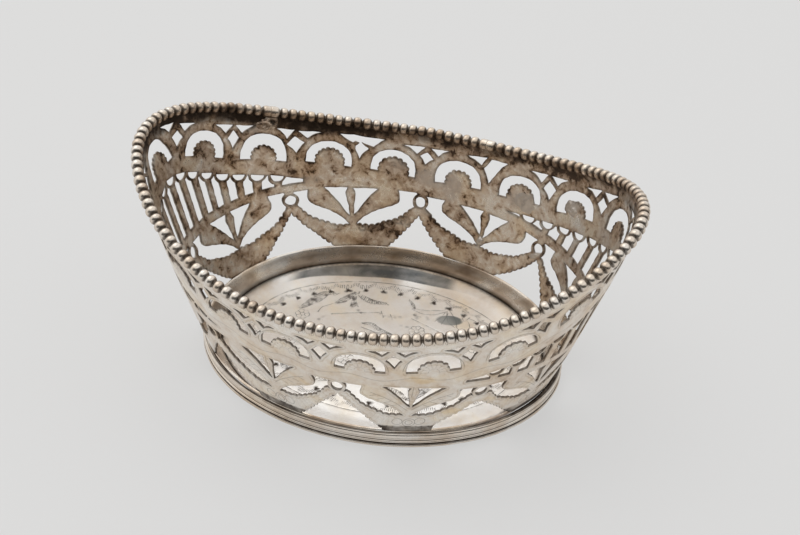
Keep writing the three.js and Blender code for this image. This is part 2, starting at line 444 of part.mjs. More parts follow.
function basePlate() {
  // radius as a part of the outer edge, height above the table
  const edgeAt = (th) => {
    const v = (PLATE_Z + PLATE_RISE + PLATE_T * 0.5 - FOOT_LOW_Z) / (FOOT_TOP_Z - FOOT_LOW_Z);
    return bandPoint(th, Math.max(v, 0), -SHEET / 2 - GAP * 1.6);
  };
  const section = [[0, PLATE_Z], [0.83, PLATE_Z], [0.988, PLATE_Z + PLATE_RISE],
    [1, PLATE_Z + PLATE_RISE + PLATE_T], [0.83, PLATE_Z + PLATE_T], [0, PLATE_Z + PLATE_T]];
  const g = new THREE.LatheGeometry(section.map(([r, z]) => new THREE.Vector2(r * 10, z)), BAND_SEGMENTS);
  const pos = g.attributes.position, n = section.length;
  for (let i = 0; i <= BAND_SEGMENTS; i++) {
    const th = evenTheta(Math.PI / 2 + ((i % BAND_SEGMENTS) / BAND_SEGMENTS) * 2 * Math.PI);
    const e = edgeAt(th);
    for (let j = 0; j < n; j++) pos.setXYZ(i * n + j, e.x * section[j][0], e.y * section[j][0], section[j][1]);
  }
  return outward(g);
}

// rim arc length against s, for beads of equal pitch
const RIM_TABLE = [];
{
  let length = 0, last = null;
  for (let i = 0; i <= 7200; i++) {
    const s = -90 + (i / 7200) * ROUND, p = rimPoint(thetaOf(s));
    if (last) length += p.distanceTo(last);
    RIM_TABLE.push([s, length]);
    last = p;
  }
}
function rimLengthAt(s) {
  const f = ((s + 90) / ROUND) * 7200, i = Math.min(7199, Math.max(0, Math.floor(f)));
  return RIM_TABLE[i][1] + (f - i) * (RIM_TABLE[i + 1][1] - RIM_TABLE[i][1]);
}
function rimAtLength(d) {
  const total = RIM_TABLE[7200][1];
  const turns = Math.floor(d / total), u = d - turns * total;
  let lo = 0, hi = 7200;
  while (hi - lo > 1) { const mid = (lo + hi) >> 1; if (RIM_TABLE[mid][1] <= u) lo = mid; else hi = mid; }
  const f = (u - RIM_TABLE[lo][1]) / (RIM_TABLE[hi][1] - RIM_TABLE[lo][1]);
  return thetaOf(RIM_TABLE[lo][0] + f * (RIM_TABLE[hi][0] - RIM_TABLE[lo][0]));
}
function beadWire(sFrom, sTo) {
  const total = RIM_TABLE[7200][1];
  let from = rimLengthAt(sFrom), to = rimLengthAt(sTo);
  if (to <= from) to += total;
  from += GAP / 2; to -= GAP / 2;
  const beads = Math.round((to - from) / BEAD_PITCH), sides = 5, stations = beads * 2;
  const g = new THREE.CylinderGeometry(1, 1, 1, sides, stations);
  const pos = g.attributes.position;
  for (let i = 0; i < pos.count; i++) {
    const x = pos.getX(i), z = pos.getZ(i), v = 0.5 - pos.getY(i);
    const station = Math.round(v * stations);
    const th = rimAtLength(from + ((to - from) * station) / stations);
    const radius = Math.hypot(x, z) < 0.5 ? 0 : BEAD_R * (station % 2 === 1 ? 1 : BEAD_NECK);
    const angle = Math.atan2(z, x) + Math.PI / 2;
    const c = rimPoint(th), along = rimPoint(th + 1e-3).sub(c).normalize();
    const out = new THREE.Vector3(Math.cos(th) / RIM_A, Math.sin(th) / RIM_B, 0);
    out.addScaledVector(along, -out.dot(along)).normalize();
    const up = new THREE.Vector3().crossVectors(out, along);
    c.addScaledVector(out, radius * Math.cos(angle)).addScaledVector(up, radius * Math.sin(angle) - BEAD_DROP);
    pos.setXYZ(i, c.x, c.y, c.z);
  }
  return outward(g);
}

// an old repair: a small plate soldered on the inside of the wall
function repairPlate(outline, thickness = 0.6) {
  const back = SHEET / 2 + GAP + 0.35;  // clear of the flats between the bends of the wall
  return warped(divided(outline, 5), -back - thickness, -back);
}
const blob = (s0, h0, rs, rh, n = 9, turn = 0.3) => Array.from({ length: n }, (_, i) => {
  const a = turn + (i / n) * 2 * Math.PI, k = 1 + 0.1 * Math.sin(3 * a + s0);
  return [s0 + rs * k * Math.cos(a), h0 + rh * k * Math.sin(a)];
});

// ---------------------------------------------------------------- finish and assembly
const silver = (color, roughness) => new THREE.MeshStandardMaterial({ color, roughness, metalness: 1.0 });
const basket = new THREE.Group();
basket.name = 'bonbon_basket';
function addPiece(name, geometry, material) {
  const mesh = new THREE.Mesh(geometry, material);
  mesh.name = name;
  basket.add(mesh);
}
addPiece('base_plate', basePlate(), silver(0xd9d5d0, 0.32));
addPiece('foot_band', footBand(), silver(0xb3a698, 0.34));
addPiece('foot_moulding', footMoulding(), silver(0xbdb3a9, 0.3));
addPiece('pierced_wall', piercedWall(), silver(0xa8998a, 0.38));
addPiece('bead_rim_long', beadWire(BEAD_JOINTS[1], BEAD_JOINTS[0]), silver(0xcfc7be, 0.25));
addPiece('bead_rim_short', beadWire(BEAD_JOINTS[0], BEAD_JOINTS[1]), silver(0xcfc7be, 0.25));
addPiece('repair_plate_rosette', repairPlate(blob(-33.0, 28.6, 4.6, 3.4)), silver(0xa7a29c, 0.45));
addPiece('repair_plate_arch', repairPlate(blob(-50.2, 36.0, 2.9, 2.7)), silver(0xb4afa9, 0.45));
addPiece('repair_lump_rim', repairPlate(blob(47.3, 45.0, 3.1, 2.2, 8), 1.1), silver(0x9c8b78, 0.45));
addPiece('repair_button_bud', repairPlate(blob(-21.9, 9.3, 1.6, 1.6, 8)), silver(0xa1968a, 0.45));
addPiece('repair_strip_ring', repairPlate([[-46.6, 15.0], [-42.6, 12.2], [-41.8, 13.3], [-45.8, 16.1]].reverse(), 0.6), silver(0xb3a48f, 0.4));

export default basket;
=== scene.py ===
"""Looks of a small oval pierced silver basket: fine pierced wall, beaded rim, reeded foot, engraved base and old repairs."""

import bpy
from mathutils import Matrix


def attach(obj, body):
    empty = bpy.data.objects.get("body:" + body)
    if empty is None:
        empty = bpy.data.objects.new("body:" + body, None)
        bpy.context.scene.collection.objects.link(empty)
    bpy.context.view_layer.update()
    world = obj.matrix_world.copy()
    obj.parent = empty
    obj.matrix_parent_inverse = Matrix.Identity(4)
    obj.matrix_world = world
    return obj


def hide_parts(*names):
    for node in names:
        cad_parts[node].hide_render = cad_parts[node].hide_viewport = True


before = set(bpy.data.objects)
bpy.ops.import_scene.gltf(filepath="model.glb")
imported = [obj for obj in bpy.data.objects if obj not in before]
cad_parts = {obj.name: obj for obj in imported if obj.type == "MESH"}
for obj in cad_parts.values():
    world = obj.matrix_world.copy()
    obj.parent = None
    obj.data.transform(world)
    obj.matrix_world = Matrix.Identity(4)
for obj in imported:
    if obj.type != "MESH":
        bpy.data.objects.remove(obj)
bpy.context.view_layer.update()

import math
import bpy
import numpy as np
from mathutils import Vector, Matrix, kdtree
from mathutils.geometry import delaunay_2d_cdt

MM = 0.001
PI = math.pi

# ------------------------------------------------------------------ camera
AZ, EL, ROLL = math.radians(14.9001), math.radians(36.8518), math.radians(2.0769)
TARGET = Vector((3.9598, 4.0832, 28.8896)) * MM
back = Vector((math.sin(AZ) * math.cos(EL), -math.cos(AZ) * math.cos(EL), math.sin(EL)))
right = Vector((math.cos(AZ), math.sin(AZ), 0))
up = back.cross(right)
right_r = right * math.cos(ROLL) + up * math.sin(ROLL)
up_r = -right * math.sin(ROLL) + up * math.cos(ROLL)
cam_data = bpy.data.cameras.new("camera")
cam_data.sensor_width = 36.0
cam_data.sensor_fit = "HORIZONTAL"
cam_data.lens = 36.0 * 1797.103 / 800.0
cam_data.clip_start, cam_data.clip_end = 0.01, 20
cam = bpy.data.objects.new("camera", cam_data)
cam.matrix_world = Matrix((
    (right_r.x, up_r.x, back.x, 0), (right_r.y, up_r.y, back.y, 0), (right_r.z, up_r.z, back.z, 0), (0, 0, 0, 1)))
cam.location = TARGET + back * 0.5440221
bpy.context.scene.collection.objects.link(cam)
bpy.context.scene.camera = cam

# ------------------------------------------------------------------ the oval and its developed coordinates (millimetres)
RIM_A, RIM_B, RIM_EXP = 75.0, 53.05, 1.93
RIM_Z_SIDE, RIM_Z_END, RIM_SWEEP = 46.82, 65.23, 2.63
FOOT_TOP_A, FOOT_TOP_B, FOOT_TOP_Z = 54.87, 44.24, 6.0
FOOT_LOW_A, FOOT_LOW_B, FOOT_LOW_Z = 50.5, 41.3, 1.0
FOOT_OUT_A, FOOT_OUT_B = 56.34, 44.74
SHEET, WALL_BULGE = 0.8, 0.7
BEAD_R, BEAD_DROP, BEAD_JOINTS = 1.8, 0.3, (-16.25, 45.75)
ROUND = 360.0
ARCHES = [-92.3, -73.3, -52.1, -30.9, -9.8, 11.0, 31.2, 52.1, 71.8, 91.0, 110.0, 129.0, 148.2, 166.0, 186.6, 207.0, 227.6, 248.0]
RINGS = [1.8, 46.2, 91.0, 136.0, 181.0, 223.0, 269.0, 315.9]
TENTS = [(0.1, 12.54, 11.38, 12.3, 1.17, 1.32), (0.64, 13.8, 15.3, 13.53, 1.2, 1.3), (0, 13.5, 13.5, 13.4, 1.25, 1.25), (0, 15, 15, 15, 1.45, 1.45),
         (0, 15.5, 15.5, 15.8, 1.45, 1.45), (0, 14.8, 18.5, 13.4, 1.45, 1.8), (0, 13.5, 13.5, 13.6, 1.2, 1.2), (-1.34, 13.05, 14.64, 13.16, 1.63, 1.04)]
BUDS = [-21.4, 25.6, 69.9, 113.5, 159.2, 202.6, 246.5, 292.5]
BARS = [([48.6, 55.7, 61.7, 67.5, 72.9, 78.1, 83.4, 88.6, 93.9, 99.3, 104.9, 110.7, 116.6, 122.6, 128.8, 135.2], (40.0, 142.0)),
        ([225.4, 231.8, 238.0, 244.2, 250.6, 257.0, 263.4, 269.8, 276.2, 282.6, 289.1, 296.0, 303.4, 309.8, 316.9, 324.0], (217.1, 332.9))]


def super_oval(th, a, b, n):
    c, s = np.cos(th), np.sin(th)
    r = (np.abs(c) ** n + np.abs(s) ** n) ** (-1.0 / n)
    return a * r * c, b * r * s


def rim(th):
    x, y = super_oval(th, RIM_A, RIM_B, RIM_EXP)
    z = RIM_Z_SIDE + (RIM_Z_END - RIM_Z_SIDE) * np.abs(np.cos(th)) ** RIM_SWEEP
    return np.stack([x, y, z], -1)


def foot_top(th):
    return np.stack([FOOT_TOP_A * np.cos(th), FOOT_TOP_B * np.sin(th), FOOT_TOP_Z + 0 * th], -1)


def foot_low(th):
    return np.stack([FOOT_LOW_A * np.cos(th), FOOT_LOW_B * np.sin(th), FOOT_LOW_Z + 0 * th], -1)


TH = PI / 2 + np.linspace(0, 2 * PI, 7201)
_mid = (rim(TH) + foot_top(TH)) / 2
S_TAB = np.concatenate([[0], np.cumsum(np.linalg.norm(np.diff(_mid, axis=0), axis=1))])
S_TAB *= ROUND / S_TAB[-1]


def theta_of(s):
    s = np.asarray(s, float)
    turns = np.floor(s / ROUND)
    return np.interp(s - turns * ROUND, S_TAB, TH) + turns * 2 * PI


def wall_len(s):
    th = theta_of(s)
    return np.linalg.norm(rim(th) - foot_top(th), axis=-1)


def unit(v):
    return v / np.maximum(np.linalg.norm(v, axis=-1, keepdims=True), 1e-12)


def waves(x, y, z, seed, scale, octaves=3):
    """A smooth field of sines, about -1 to 1, the same on every run."""
    rng = np.random.default_rng(seed)
    total, amp, norm = np.zeros(np.shape(x)), 1.0, 0.0
    for _ in range(octaves):
        for _k in range(4):
            k = rng.normal(size=3)
            k *= 2 * PI / (scale * np.linalg.norm(k)) * rng.uniform(0.7, 1.4)
            total = total + amp * np.sin(k[0] * x + k[1] * y + k[2] * z + rng.uniform(0, 6.28))
        norm += amp * 2.0
        amp *= 0.55
        scale *= 0.47
    return total / norm


def wall(s, h, t):
    """A point of the wall: s round the basket, h up it from the foot band, t outward from the middle of the sheet."""
    s, h, t = np.broadcast_arrays(*[np.asarray(v, float) for v in (s, h, t)])
    th = theta_of(s)
    a, b = foot_top(th), rim(th)
    rise = b - a
    length = np.linalg.norm(rise, axis=-1)
    rise = rise / length[..., None]
    e = 1e-3
    along = foot_top(th + e) + rim(th + e) - a - b
    normal = unit(np.cross(along, rise))
    u = h / length
    bulge = np.maximum(0, WALL_BULGE * 4 * u * (1 - u))
    p = a + rise * h[..., None] + normal * (t + bulge)[..., None]
    dent = 0.10 * waves(p[..., 0], p[..., 1], p[..., 2], 5, 26.0, 2) * np.clip(h / 8, 0, 1) * np.clip((length - h) / 8, 0, 1)
    return p + normal * dent[..., None]


def foot_normal(th):
    a, b = foot_low(th), foot_top(th)
    e = 1e-3
    along = foot_top(th + e) + foot_low(th + e) - a - b
    return unit(np.cross(along, b - a))


def band(th, v, t):
    th, v, t = np.broadcast_arrays(*[np.asarray(x, float) for x in (th, v, t)])
    a, b = foot_low(th), foot_top(th)
    return a + (b - a) * v[..., None] + foot_normal(th) * t[..., None]


# ------------------------------------------------------------------ the pierced pattern in developed coordinates
def slope_of(f, s):
    return float((f(s + 2) - f(s - 2)) / 4)


def arch_base(s):
    return wall_len(s) - 15.3 * np.hypot(1, (wall_len(np.asarray(s) + 2) - wall_len(np.asarray(s) - 2)) / 4)


def low_band_bottom(s):
    w = np.asarray(s, float) / ROUND * 2 * PI
    return 20.9 + 0.9 * np.sin(w) - 0.6 * np.cos(w)


def low_band_top(s):
    return low_band_bottom(s) + 3.2


EDGE_PTS = np.array([[0, 23], [27, 23.4], [33, 24.4], [40, 25.8], [47.5, 27.8], [54, 29.9], [61, 32.5], [68, 35.1], [73.5, 37.6], [78.5, 40.1], [83.5, 42.6], [90, 44.2]])


def main_band_edge(s):
    r = np.mod(np.asarray(s, float), 180.0)
    return np.interp(np.minimum(r, 180 - r), EDGE_PTS[:, 0], EDGE_PTS[:, 1])


def near_side(s):
    u = np.clip((-np.cos(np.asarray(s, float) / ROUND * 2 * PI) - 0.2) / 0.5, 0, 1)
    return u * u * (3 - 2 * u)


def mix(a, b, w):
    return a + (b - a) * w


rng = np.random.default_rng(11)


def curve(nodes, step=0.45, flat=1.3):
    """Corners (x, y) stay sharp, points (x, y, 1) are passed smoothly; spaced at about step on curves and flat on straights."""
    out, n = [], len(nodes)
    P = np.array([p[:2] for p in nodes], float)
    smooth = [len(p) > 2 for p in nodes]
    for i in range(n):
        a, b = P[i], P[(i + 1) % n]
        length = np.linalg.norm(b - a)
        if not smooth[i] and not smooth[(i + 1) % n]:
            k = max(1, int(math.ceil(length / flat)))
            out += [a + (b - a) * j / k for j in range(k)]
            continue
        ma = (P[(i + 1) % n] - P[i - 1]) / 2 if smooth[i] else (b - a)
        mb = (P[(i + 2) % n] - a) / 2 if smooth[(i + 1) % n] else (b - a)
        for m in (ma, mb):
            ln = np.linalg.norm(m)
            if ln > 1.6 * length:
                m *= 1.6 * length / ln
        k = max(1, int(math.ceil(length / step)))
        for j in range(k):
            f = j / k
            out.append((2 * f ** 3 - 3 * f ** 2 + 1) * a + (f ** 3 - 2 * f ** 2 + f) * ma + (-2 * f ** 3 + 3 * f ** 2) * b + (f ** 3 - f ** 2) * mb)
    return np.array(out)


def placed(points, s0, h0, tilt=0.0):
    p = np.asarray(points, float)
    c, n = math.cos(tilt), math.sin(tilt)
    return np.stack([s0 + p[:, 0] * c - p[:, 1] * n, h0 + p[:, 0] * n + p[:, 1] * c], 1)


def adjusted(p, fit):
    """A loop moved by (ds, dh), stretched by (kx, ky) and turned about its own middle."""
    if fit is None:
        return p
    ds, dh, kx, ky, turn = fit
    c = p.mean(0)
    return placed((p - c) * [kx, ky], c[0] + ds, c[1] + dh, turn)


def key_of(s):
    return round((s + 180.0) % 360.0 - 180.0, 1)


def scalloped(line, pitch, depth, side, phase=0.0):
    """Lobes of the metal along an open line; side is +1 when they bulge to the left of its direction."""
    seg = np.linalg.norm(np.diff(line, axis=0), axis=1)
    d = np.concatenate([[0], np.cumsum(seg)])
    k = max(2, int(round(d[-1] / pitch)))
    n = k * 6 + 1
    at = np.linspace(0, d[-1], n)
    p = np.stack([np.interp(at, d, line[:, 0]), np.interp(at, d, line[:, 1])], 1)
    t = unit(np.gradient(p, axis=0))
    nrm = np.stack([-t[:, 1], t[:, 0]], 1) * side
    lobe = np.abs(np.sin(PI * k * at / d[-1])) ** 0.62
    amp = depth * (0.75 + 0.5 * np.repeat(rng.uniform(0, 1, k + 1), 6)[:n])
    taper = np.clip(at / 1.2, 0, 1) * np.clip((d[-1] - at) / 1.2, 0, 1)
    return p + nrm * ((lobe * amp - 0.35 * depth) * taper)[:, None]


# where each arch really sits: along, up, turn, half width, height, rosette radius and centre, lobes
ARCH_FIT = {-92.3: (0, 0.6, 0, 7.6, 8.2, 3.9, 0.7, 9), -73.3: (-1.92, -0.22, 0, 8.18, 8.56, 3.64, 0.9, 9), -52.1: (-0.57, -0.41, -0.03, 8.6, 8.03, 3.88, 0.5, 9),
            -30.9: (0.06, -0.55, -0.015, 7.59, 8.05, 4.49, 0.56, 9), -9.8: (0.1, -0.94, -0.055, 7.58, 8.26, 4.01, 0.79, 9), 11.0: (0.08, -0.75, 0.064, 6.8, 8.0, 4.57, 0.75, 9),
            31.2: (-0.36, -0.4, 0, 6.85, 7.9, 4.33, 0.99, 10), 52.1: (-0.47, -1.64, -0.047, 7.6, 8.95, 3.94, 0.84, 9), 71.8: (-0.6, -1.3, 0.119, 7.32, 8.4, 3.81, 1.07, 9),
            91.0: (-1.0, 0.2, -0.01, 7.05, 9.8, 3.8, 1.8, 9), 110.0: (0, 1.5, 0, 7.3, 7.0, 3.8, 0.4, 7), 129.0: (0, 1.8, 0, 7.2, 6.8, 3.8, 0.2, 7),
            148.2: (0, 1.7, 0, 7.1, 6.6, 3.8, 0.1, 7), 166.0: (0.7, 2.0, 0.01, 7.1, 6.35, 3.85, 0.1, 7), 186.6: (0.9, 1.45, -0.027, 6.75, 6.5, 3.75, 0.05, 7),
            207.0: (0, 1.1, -0.04, 7.2, 7.4, 3.95, 0.1, 7), 227.6: (0.8, 0.5, -0.05, 7.0, 6.9, 3.9, 0.2, 7), 248.0: (0.3, 1.0, 0, 7.2, 7.3, 3.9, 0.4, 7)}


ARCH_WIDE = {11.0: 1.05, 31.2: 1.1, 52.1: 1.06, 71.8: 1.07}  # some are wider on the side of growing s


def arch_place(s0):
    ds, dh, dt = ARCH_FIT[s0][:3]
    return s0 + ds, float(arch_base(s0)) + dh, math.atan(slope_of(arch_base, s0)) + dt


def arch_hole(s0):
    w, top, r0, rc, lobes = ARCH_FIT[s0][3:]
    k = top / 8.4
    left = [(-w, 0), (-0.986 * w, 2.1 * min(1, k * 1.1), 1), (-0.885 * w, 4.8 * min(1, k * 1.04), 1), (-0.653 * w, 6.9 * k, 1), (-0.34 * w, 8.05 * k, 1)]
    nodes = left + [(0, top, 1)] + [(-q[0], *q[1:]) for q in left[::-1]]
    outer = curve(nodes)
    outer[:, 0] = np.where(outer[:, 0] > 0, outer[:, 0] * ARCH_WIDE.get(s0, 1.0), outer[:, 0])
    w = w * ARCH_WIDE.get(s0, 1.0)
    outer = outer[:np.argmin(np.hypot(outer[:, 0] - w, outer[:, 1])) + 1]
    a0 = math.radians(-13) * min(1, rc / 0.8)
    ang = np.linspace(a0, PI - a0, lobes * 6 + 1)
    r = r0 - 0.05 + 0.5 * np.abs(np.sin(lobes * PI * (ang - a0) / (PI - 2 * a0))) ** 0.7
    inner = np.stack([r * np.cos(ang), rc + r * np.sin(ang)], 1)
    inner[0], inner[-1] = (r0 + 0.38, 0.0), (-r0 - 0.38, 0.0)
    return placed(np.vstack([outer, inner]), *arch_place(s0))


ARCH_UP = np.array(sorted((s % 360.0, ARCH_FIT[s][1]) for s in ARCHES))


def arch_line(s):
    """The line the arcade stands on."""
    return arch_base(s) + np.interp(np.mod(s, ROUND), ARCH_UP[:, 0], ARCH_UP[:, 1], period=ROUND)


def rim_line(s):
    slope = (wall_len(np.asarray(s) + 2) - wall_len(np.asarray(s) - 2)) / 4
    return wall_len(s) - mix(5.4, 4.9 * (1 + slope * slope), near_side(s))


# for each group of two triangles and a kite: the middle, the stretch and the turn of each
SPANDREL_FIT = {81.4: ((73.37, 53.63, 1.436, 1.176, 0.45), (81.18, 57.13, 1.441, 1.215, 0.24), (78.74, 51.67, 1.317, 1.181, 0.47)),
                62.0: ((54.64, 45.64, 1.448, 1.153, 0.315), (61.51, 48.09, 1.355, 1.254, 0.336), (59.67, 42.92, 1.03, 1.366, 0.32)),
                41.6: ((35.1, 39.65, 1.599, 1.075, 0.177), (42.67, 41.33, 1.255, 1.475, 0.263), (40.27, 36.29, 1.532, 1.247, 0.048)),
                0.6: ((-3.0, 35.53, 1.27, 1.107, -0.049), (5.04, 35.3, 1.468, 1.202, -0.029), (1.02, 32.27, 1.131, 0.932, 0.085)),
                -41.5: ((-41.95, 41.47, 1.511, 1.294, -0.276), (-34.46, 39.36, 1.426, 1.493, -0.268), (-39.76, 36.23, 1.355, 1.486, -0.354)),
                -62.7: ((-63.57, 49.6, 1.776, 1.367, -0.433), (-55.43, 46.14, 1.695, 1.258, -0.461), (-61.55, 44.33, 1.481, 1.342, -0.467))}
TRIO = ([(-5.4, 0.05), (-0.95, 0), (-2.7, -2.25), (-3.85, -0.95, 1)], [(0.95, 0), (5.4, 0.05), (3.85, -0.95, 1), (2.7, -2.25)],
        [(0.05, -1.45), (1.95, -3.45), (0.98, -4.55, 1), (0.15, -6.1), (-0.85, -4.6, 1), (-1.85, -3.45)])


def spandrel_holes(s0):
    """Two side triangles and a kite between each two arches; two places have lost a strut."""
    if abs(s0 - 21.1) < 1.5:  # the struts are mostly gone: prongs are left
        p = curve([(13.9, 37.6), (19.0, 38.2), (22.2, 38.9), (26.0, 39.3), (24.2, 37.3), (22.6, 36.3), (21.9, 36.7), (20.9, 36.1), (22.1, 35.3),
                   (22.0, 33.6, 1), (21.2, 30.9), (20.3, 32.6, 1), (18.6, 34.2, 1), (19.4, 35.2), (20.3, 36.3), (19.3, 35.9), (17.1, 34.9), (15.6, 36.4, 1)])
        return [adjusted(p, (0, -0.45, 1.08, 1.05, 0))]
    if abs(s0 + 20.4) < 1.5:  # the left strut is gone, the right one leans
        return [curve([(-23.7, 38.4), (-18.5, 37.9), (-17.9, 36.3, 1), (-16.7, 33.9), (-18.0, 31.8, 1), (-19.1, 29.4), (-20.7, 32.9, 1), (-22.0, 36.1, 1)]),
                adjusted(curve([(-17.0, 37.9), (-11.8, 37.3), (-14.0, 36.1, 1), (-15.6, 35.0)]), (0.3, -0.3, 1.2, 1.1, -0.1))]
    fit = next((v for k, v in SPANDREL_FIT.items() if abs(k - key_of(s0)) < 0.5), None)
    shapes = [curve(k, flat=0.9) for k in TRIO]
    if fit is None:
        tilt = math.atan(slope_of(rim_line, s0))
        s1 = s0 - 11.6 * math.sin(tilt) + (0.4 if abs(s0 - 176.3) < 1 else 0)
        h1, n = float(rim_line(s1)) - mix(0.3, 0.0, float(near_side(s1))), float(near_side(s1))
        out = []
        for i, p in enumerate(shapes):
            kx, ky = (mix(1.4, 1.22, n), mix(1.2, 0.9, n)) if i < 2 else (mix(1.3, 1.08, n), mix(1.25, 1.2, n))
            c = p.mean(0)
            q = (p - c) * [kx, ky] + c * [1.12 if i < 2 else 1, 1]
            if i == 2:
                q[:, 1] += -6.95 * mix(1, 1.03, n) - q[:, 1].min()
            else:
                q[:, 1] -= q[:, 1].max()
            out.append(placed(q, s1, h1, tilt))
        return out
    out = []
    for p, (s, h, kx, ky, turn) in zip(shapes, fit):
        out.append(placed((p - p.mean(0)) * [kx, ky], s, h, turn))
    return out


RING_FIT = {91.0: (0.2, -1.0, 1.13, 1.01), 46.2: (-0.2, -0.72, 1.16, 0.89), 1.8: (-0.03, -0.71, 0.956, 0.986), -44.1: (-0.19, -0.61, 1.17, 1.0)}
LEAF_FIT = {69.9: ((-0.45, -1.3, 1.15, 1.14, 0.015), (0.08, -1.34, 1.05, 1.126, 0.044)), 25.6: ((-0.6, -1.09, 1.12, 1.11, 0), (-0.15, -0.93, 1.033, 1.179, 0.068)),
            -21.4: ((0.02, -0.74, 1.01, 1.065, -0.058), (0.3, -0.56, 1.119, 1.047, -0.078)), -67.5: ((0, 0, 1, 1, 0), (0.485, -0.083, 1.2, 1.005, -0.062))}
FISH_FIT = {(91.0, 69.9): (-0.05, -0.67, 1.104, 0.943, 0), (91.0, 113.5): (0, -0.4, 1, 1, 0), (46.2, 69.9): (0.42, -0.5, 1.1, 1.078, 0.077), (46.2, 25.6): (0.025, -0.457, 1.023, 0.978, 0),
            (1.8, 25.6): (-0.09, -0.525, 1.014, 1.053, 0.042), (1.8, -21.4): (-0.8, -0.87, 1.06, 1.011, -0.048), (-44.1, -21.4): (0.35, -0.95, 0.989, 1.14, 0.12),
            (-44.1, -67.5): (-0.02, 0.2, 0.92, 1.04, -0.12)}
MOON_FIT = {48.6: (-0.11, -1.05, 1.081, 1.094), 55.7: (-0.74, -1.5, 1.15, 1.07), 61.7: (-0.5, -1.6, 1.108, 1.045), 67.5: (-0.66, -1.5, 1.13, 1.1), 72.9: (-0.7, -0.97, 1.077, 1.047),
            78.1: (-0.75, -0.72, 1.048, 1.072), 83.4: (-1.0, -0.9, 1.09, 1.1), 88.6: (-0.8, -0.8, 1.1, 1.15), 93.9: (-0.4, -0.5, 1, 1), -77.4: (0.6, -0.12, 0.95, 1.04),
            -70.9: (-0.05, 0, 1.15, 1.11), -64.0: (-0.3, 0.2, 1.18, 1.09), -56.6: (-0.7, 0, 1.2, 1.13), -50.2: (-0.29, -0.06, 1.16, 1.03), -43.1: (-0.36, -0.19, 1.14, 1.15),
            -36.0: (0.1, -0.22, 1.18, 1.06)}


def ring_place(s0):
    ds, dh, kx, ky = RING_FIT.get(key_of(s0), (0, 0, 1, 1))
    return s0 + ds, float(low_band_bottom(s0) - mix(2.6, 2.1, near_side(s0))) + dh, 1.72 * kx, 1.86 * ky


def ring_hole(s0):
    a = np.linspace(0, 2 * PI, 24, endpoint=False)
    s, h, rx, ry = ring_place(s0)
    return np.stack([s + rx * np.cos(a), h + ry * np.sin(a)], 1)


def leaf_holes(s0):
    n = float(near_side(s0))
    b, w = float(low_band_bottom(s0)) + 0.9 * n, mix(1, 1.06, n)
    left = [(-8.4 * w, b), (-1.0, b), (-1.6, b - 1.8, 1), (-1.4, b - 3.2, 1), (-0.9, b - 5.3, 1), (mix(-0.6, -0.35, n), b - 8.3 * mix(1, 1.1, n)),
            (-2.0, b - 7.0 * w, 1), (-3.8 * w, b - 4.7, 1), (-6.3 * w, b - 2.0, 1)]
    out = []
    for i, sign in enumerate((1, -1)):
        p = curve([(x[0] * sign, *x[1:]) for x in left])
        p = adjusted(p + np.array([s0 + 0.35 * n, 0]), LEAF_FIT.get(key_of(s0), (None, None))[i])
        out.append(p[::sign])
    return out


def tent_line(s0, ds, low, high, apex, f_low, f_high):
    """The two sides of the tent, from its left foot over the apex to its right foot."""
    def side(half, f):
        return np.array([(-half, 0.0), (-0.70 * half, 0.186 * apex * f), (-0.52 * half, 0.34 * apex * (1 + 0.8 * (f - 1))),
                         (-0.317 * half, 0.535 * apex * (1 + 0.55 * (f - 1))), (-0.13 * half, 0.775 * apex * (1 + 0.3 * (f - 1))), (0, apex)])
    L, R = side(low, f_low), side(high, f_high)[::-1]
    R[:, 0] *= -1
    out = []
    for k, line in enumerate((L, R)):
        fine = curve([tuple(line[0])] + [(*p, 1) for p in line[1:-1]] + [tuple(line[-1])], step=0.4)
        end = np.argmin(np.linalg.norm(fine - line[-1], axis=1))
        fine = fine[:end + 1] if end > 3 else fine[:len(fine) // 2]
        out.append(scalloped(fine, 2.1, 0.55, -1.0))
    out[1] = out[1][1:]
    p = np.vstack(out)
    if abs(s0 - 223.0) < 1:  # this foot is cut off square
        p = np.vstack([p[:1], p[1:][p[1:, 0] > -11.3]])
        p[0, 0] = -11.2
    p[:, 0] += s0 + ds
    p[:, 1] = np.maximum(p[:, 1], 0.0)
    p[0, 1] = p[-1, 1] = 0.0
    return p


FISH_LOW = [(.130, 15.3, 1.9), (.176, 14.0, 2.2), (.25, 12.4, 1.9), (.343, 10.9, 1.4), (.49, 9.55, 1.0), (.583, 8.7, 0.8), (.676, 8.0, 0.7), (.787, 7.7, 0.8), (.93, 7.8, 0.9)]
FISH_UP = [(.861, 9.55, 0.7), (.769, 11.1, 0.8), (.639, 12.7, 0.7), (.49, 14.2, 0.5), (.398, 15.1, 0.4), (.324, 16.4, 0.3), (.309, 17.8, 0.2), (.324, 19.3, 0), (.337, 20.3, 0)]
FISH_RING = [(.157, 20.3, 0), (.148, 18.9, 0.5), (.140, 17.3, 1.2), (.130, 15.3, 1.9)]


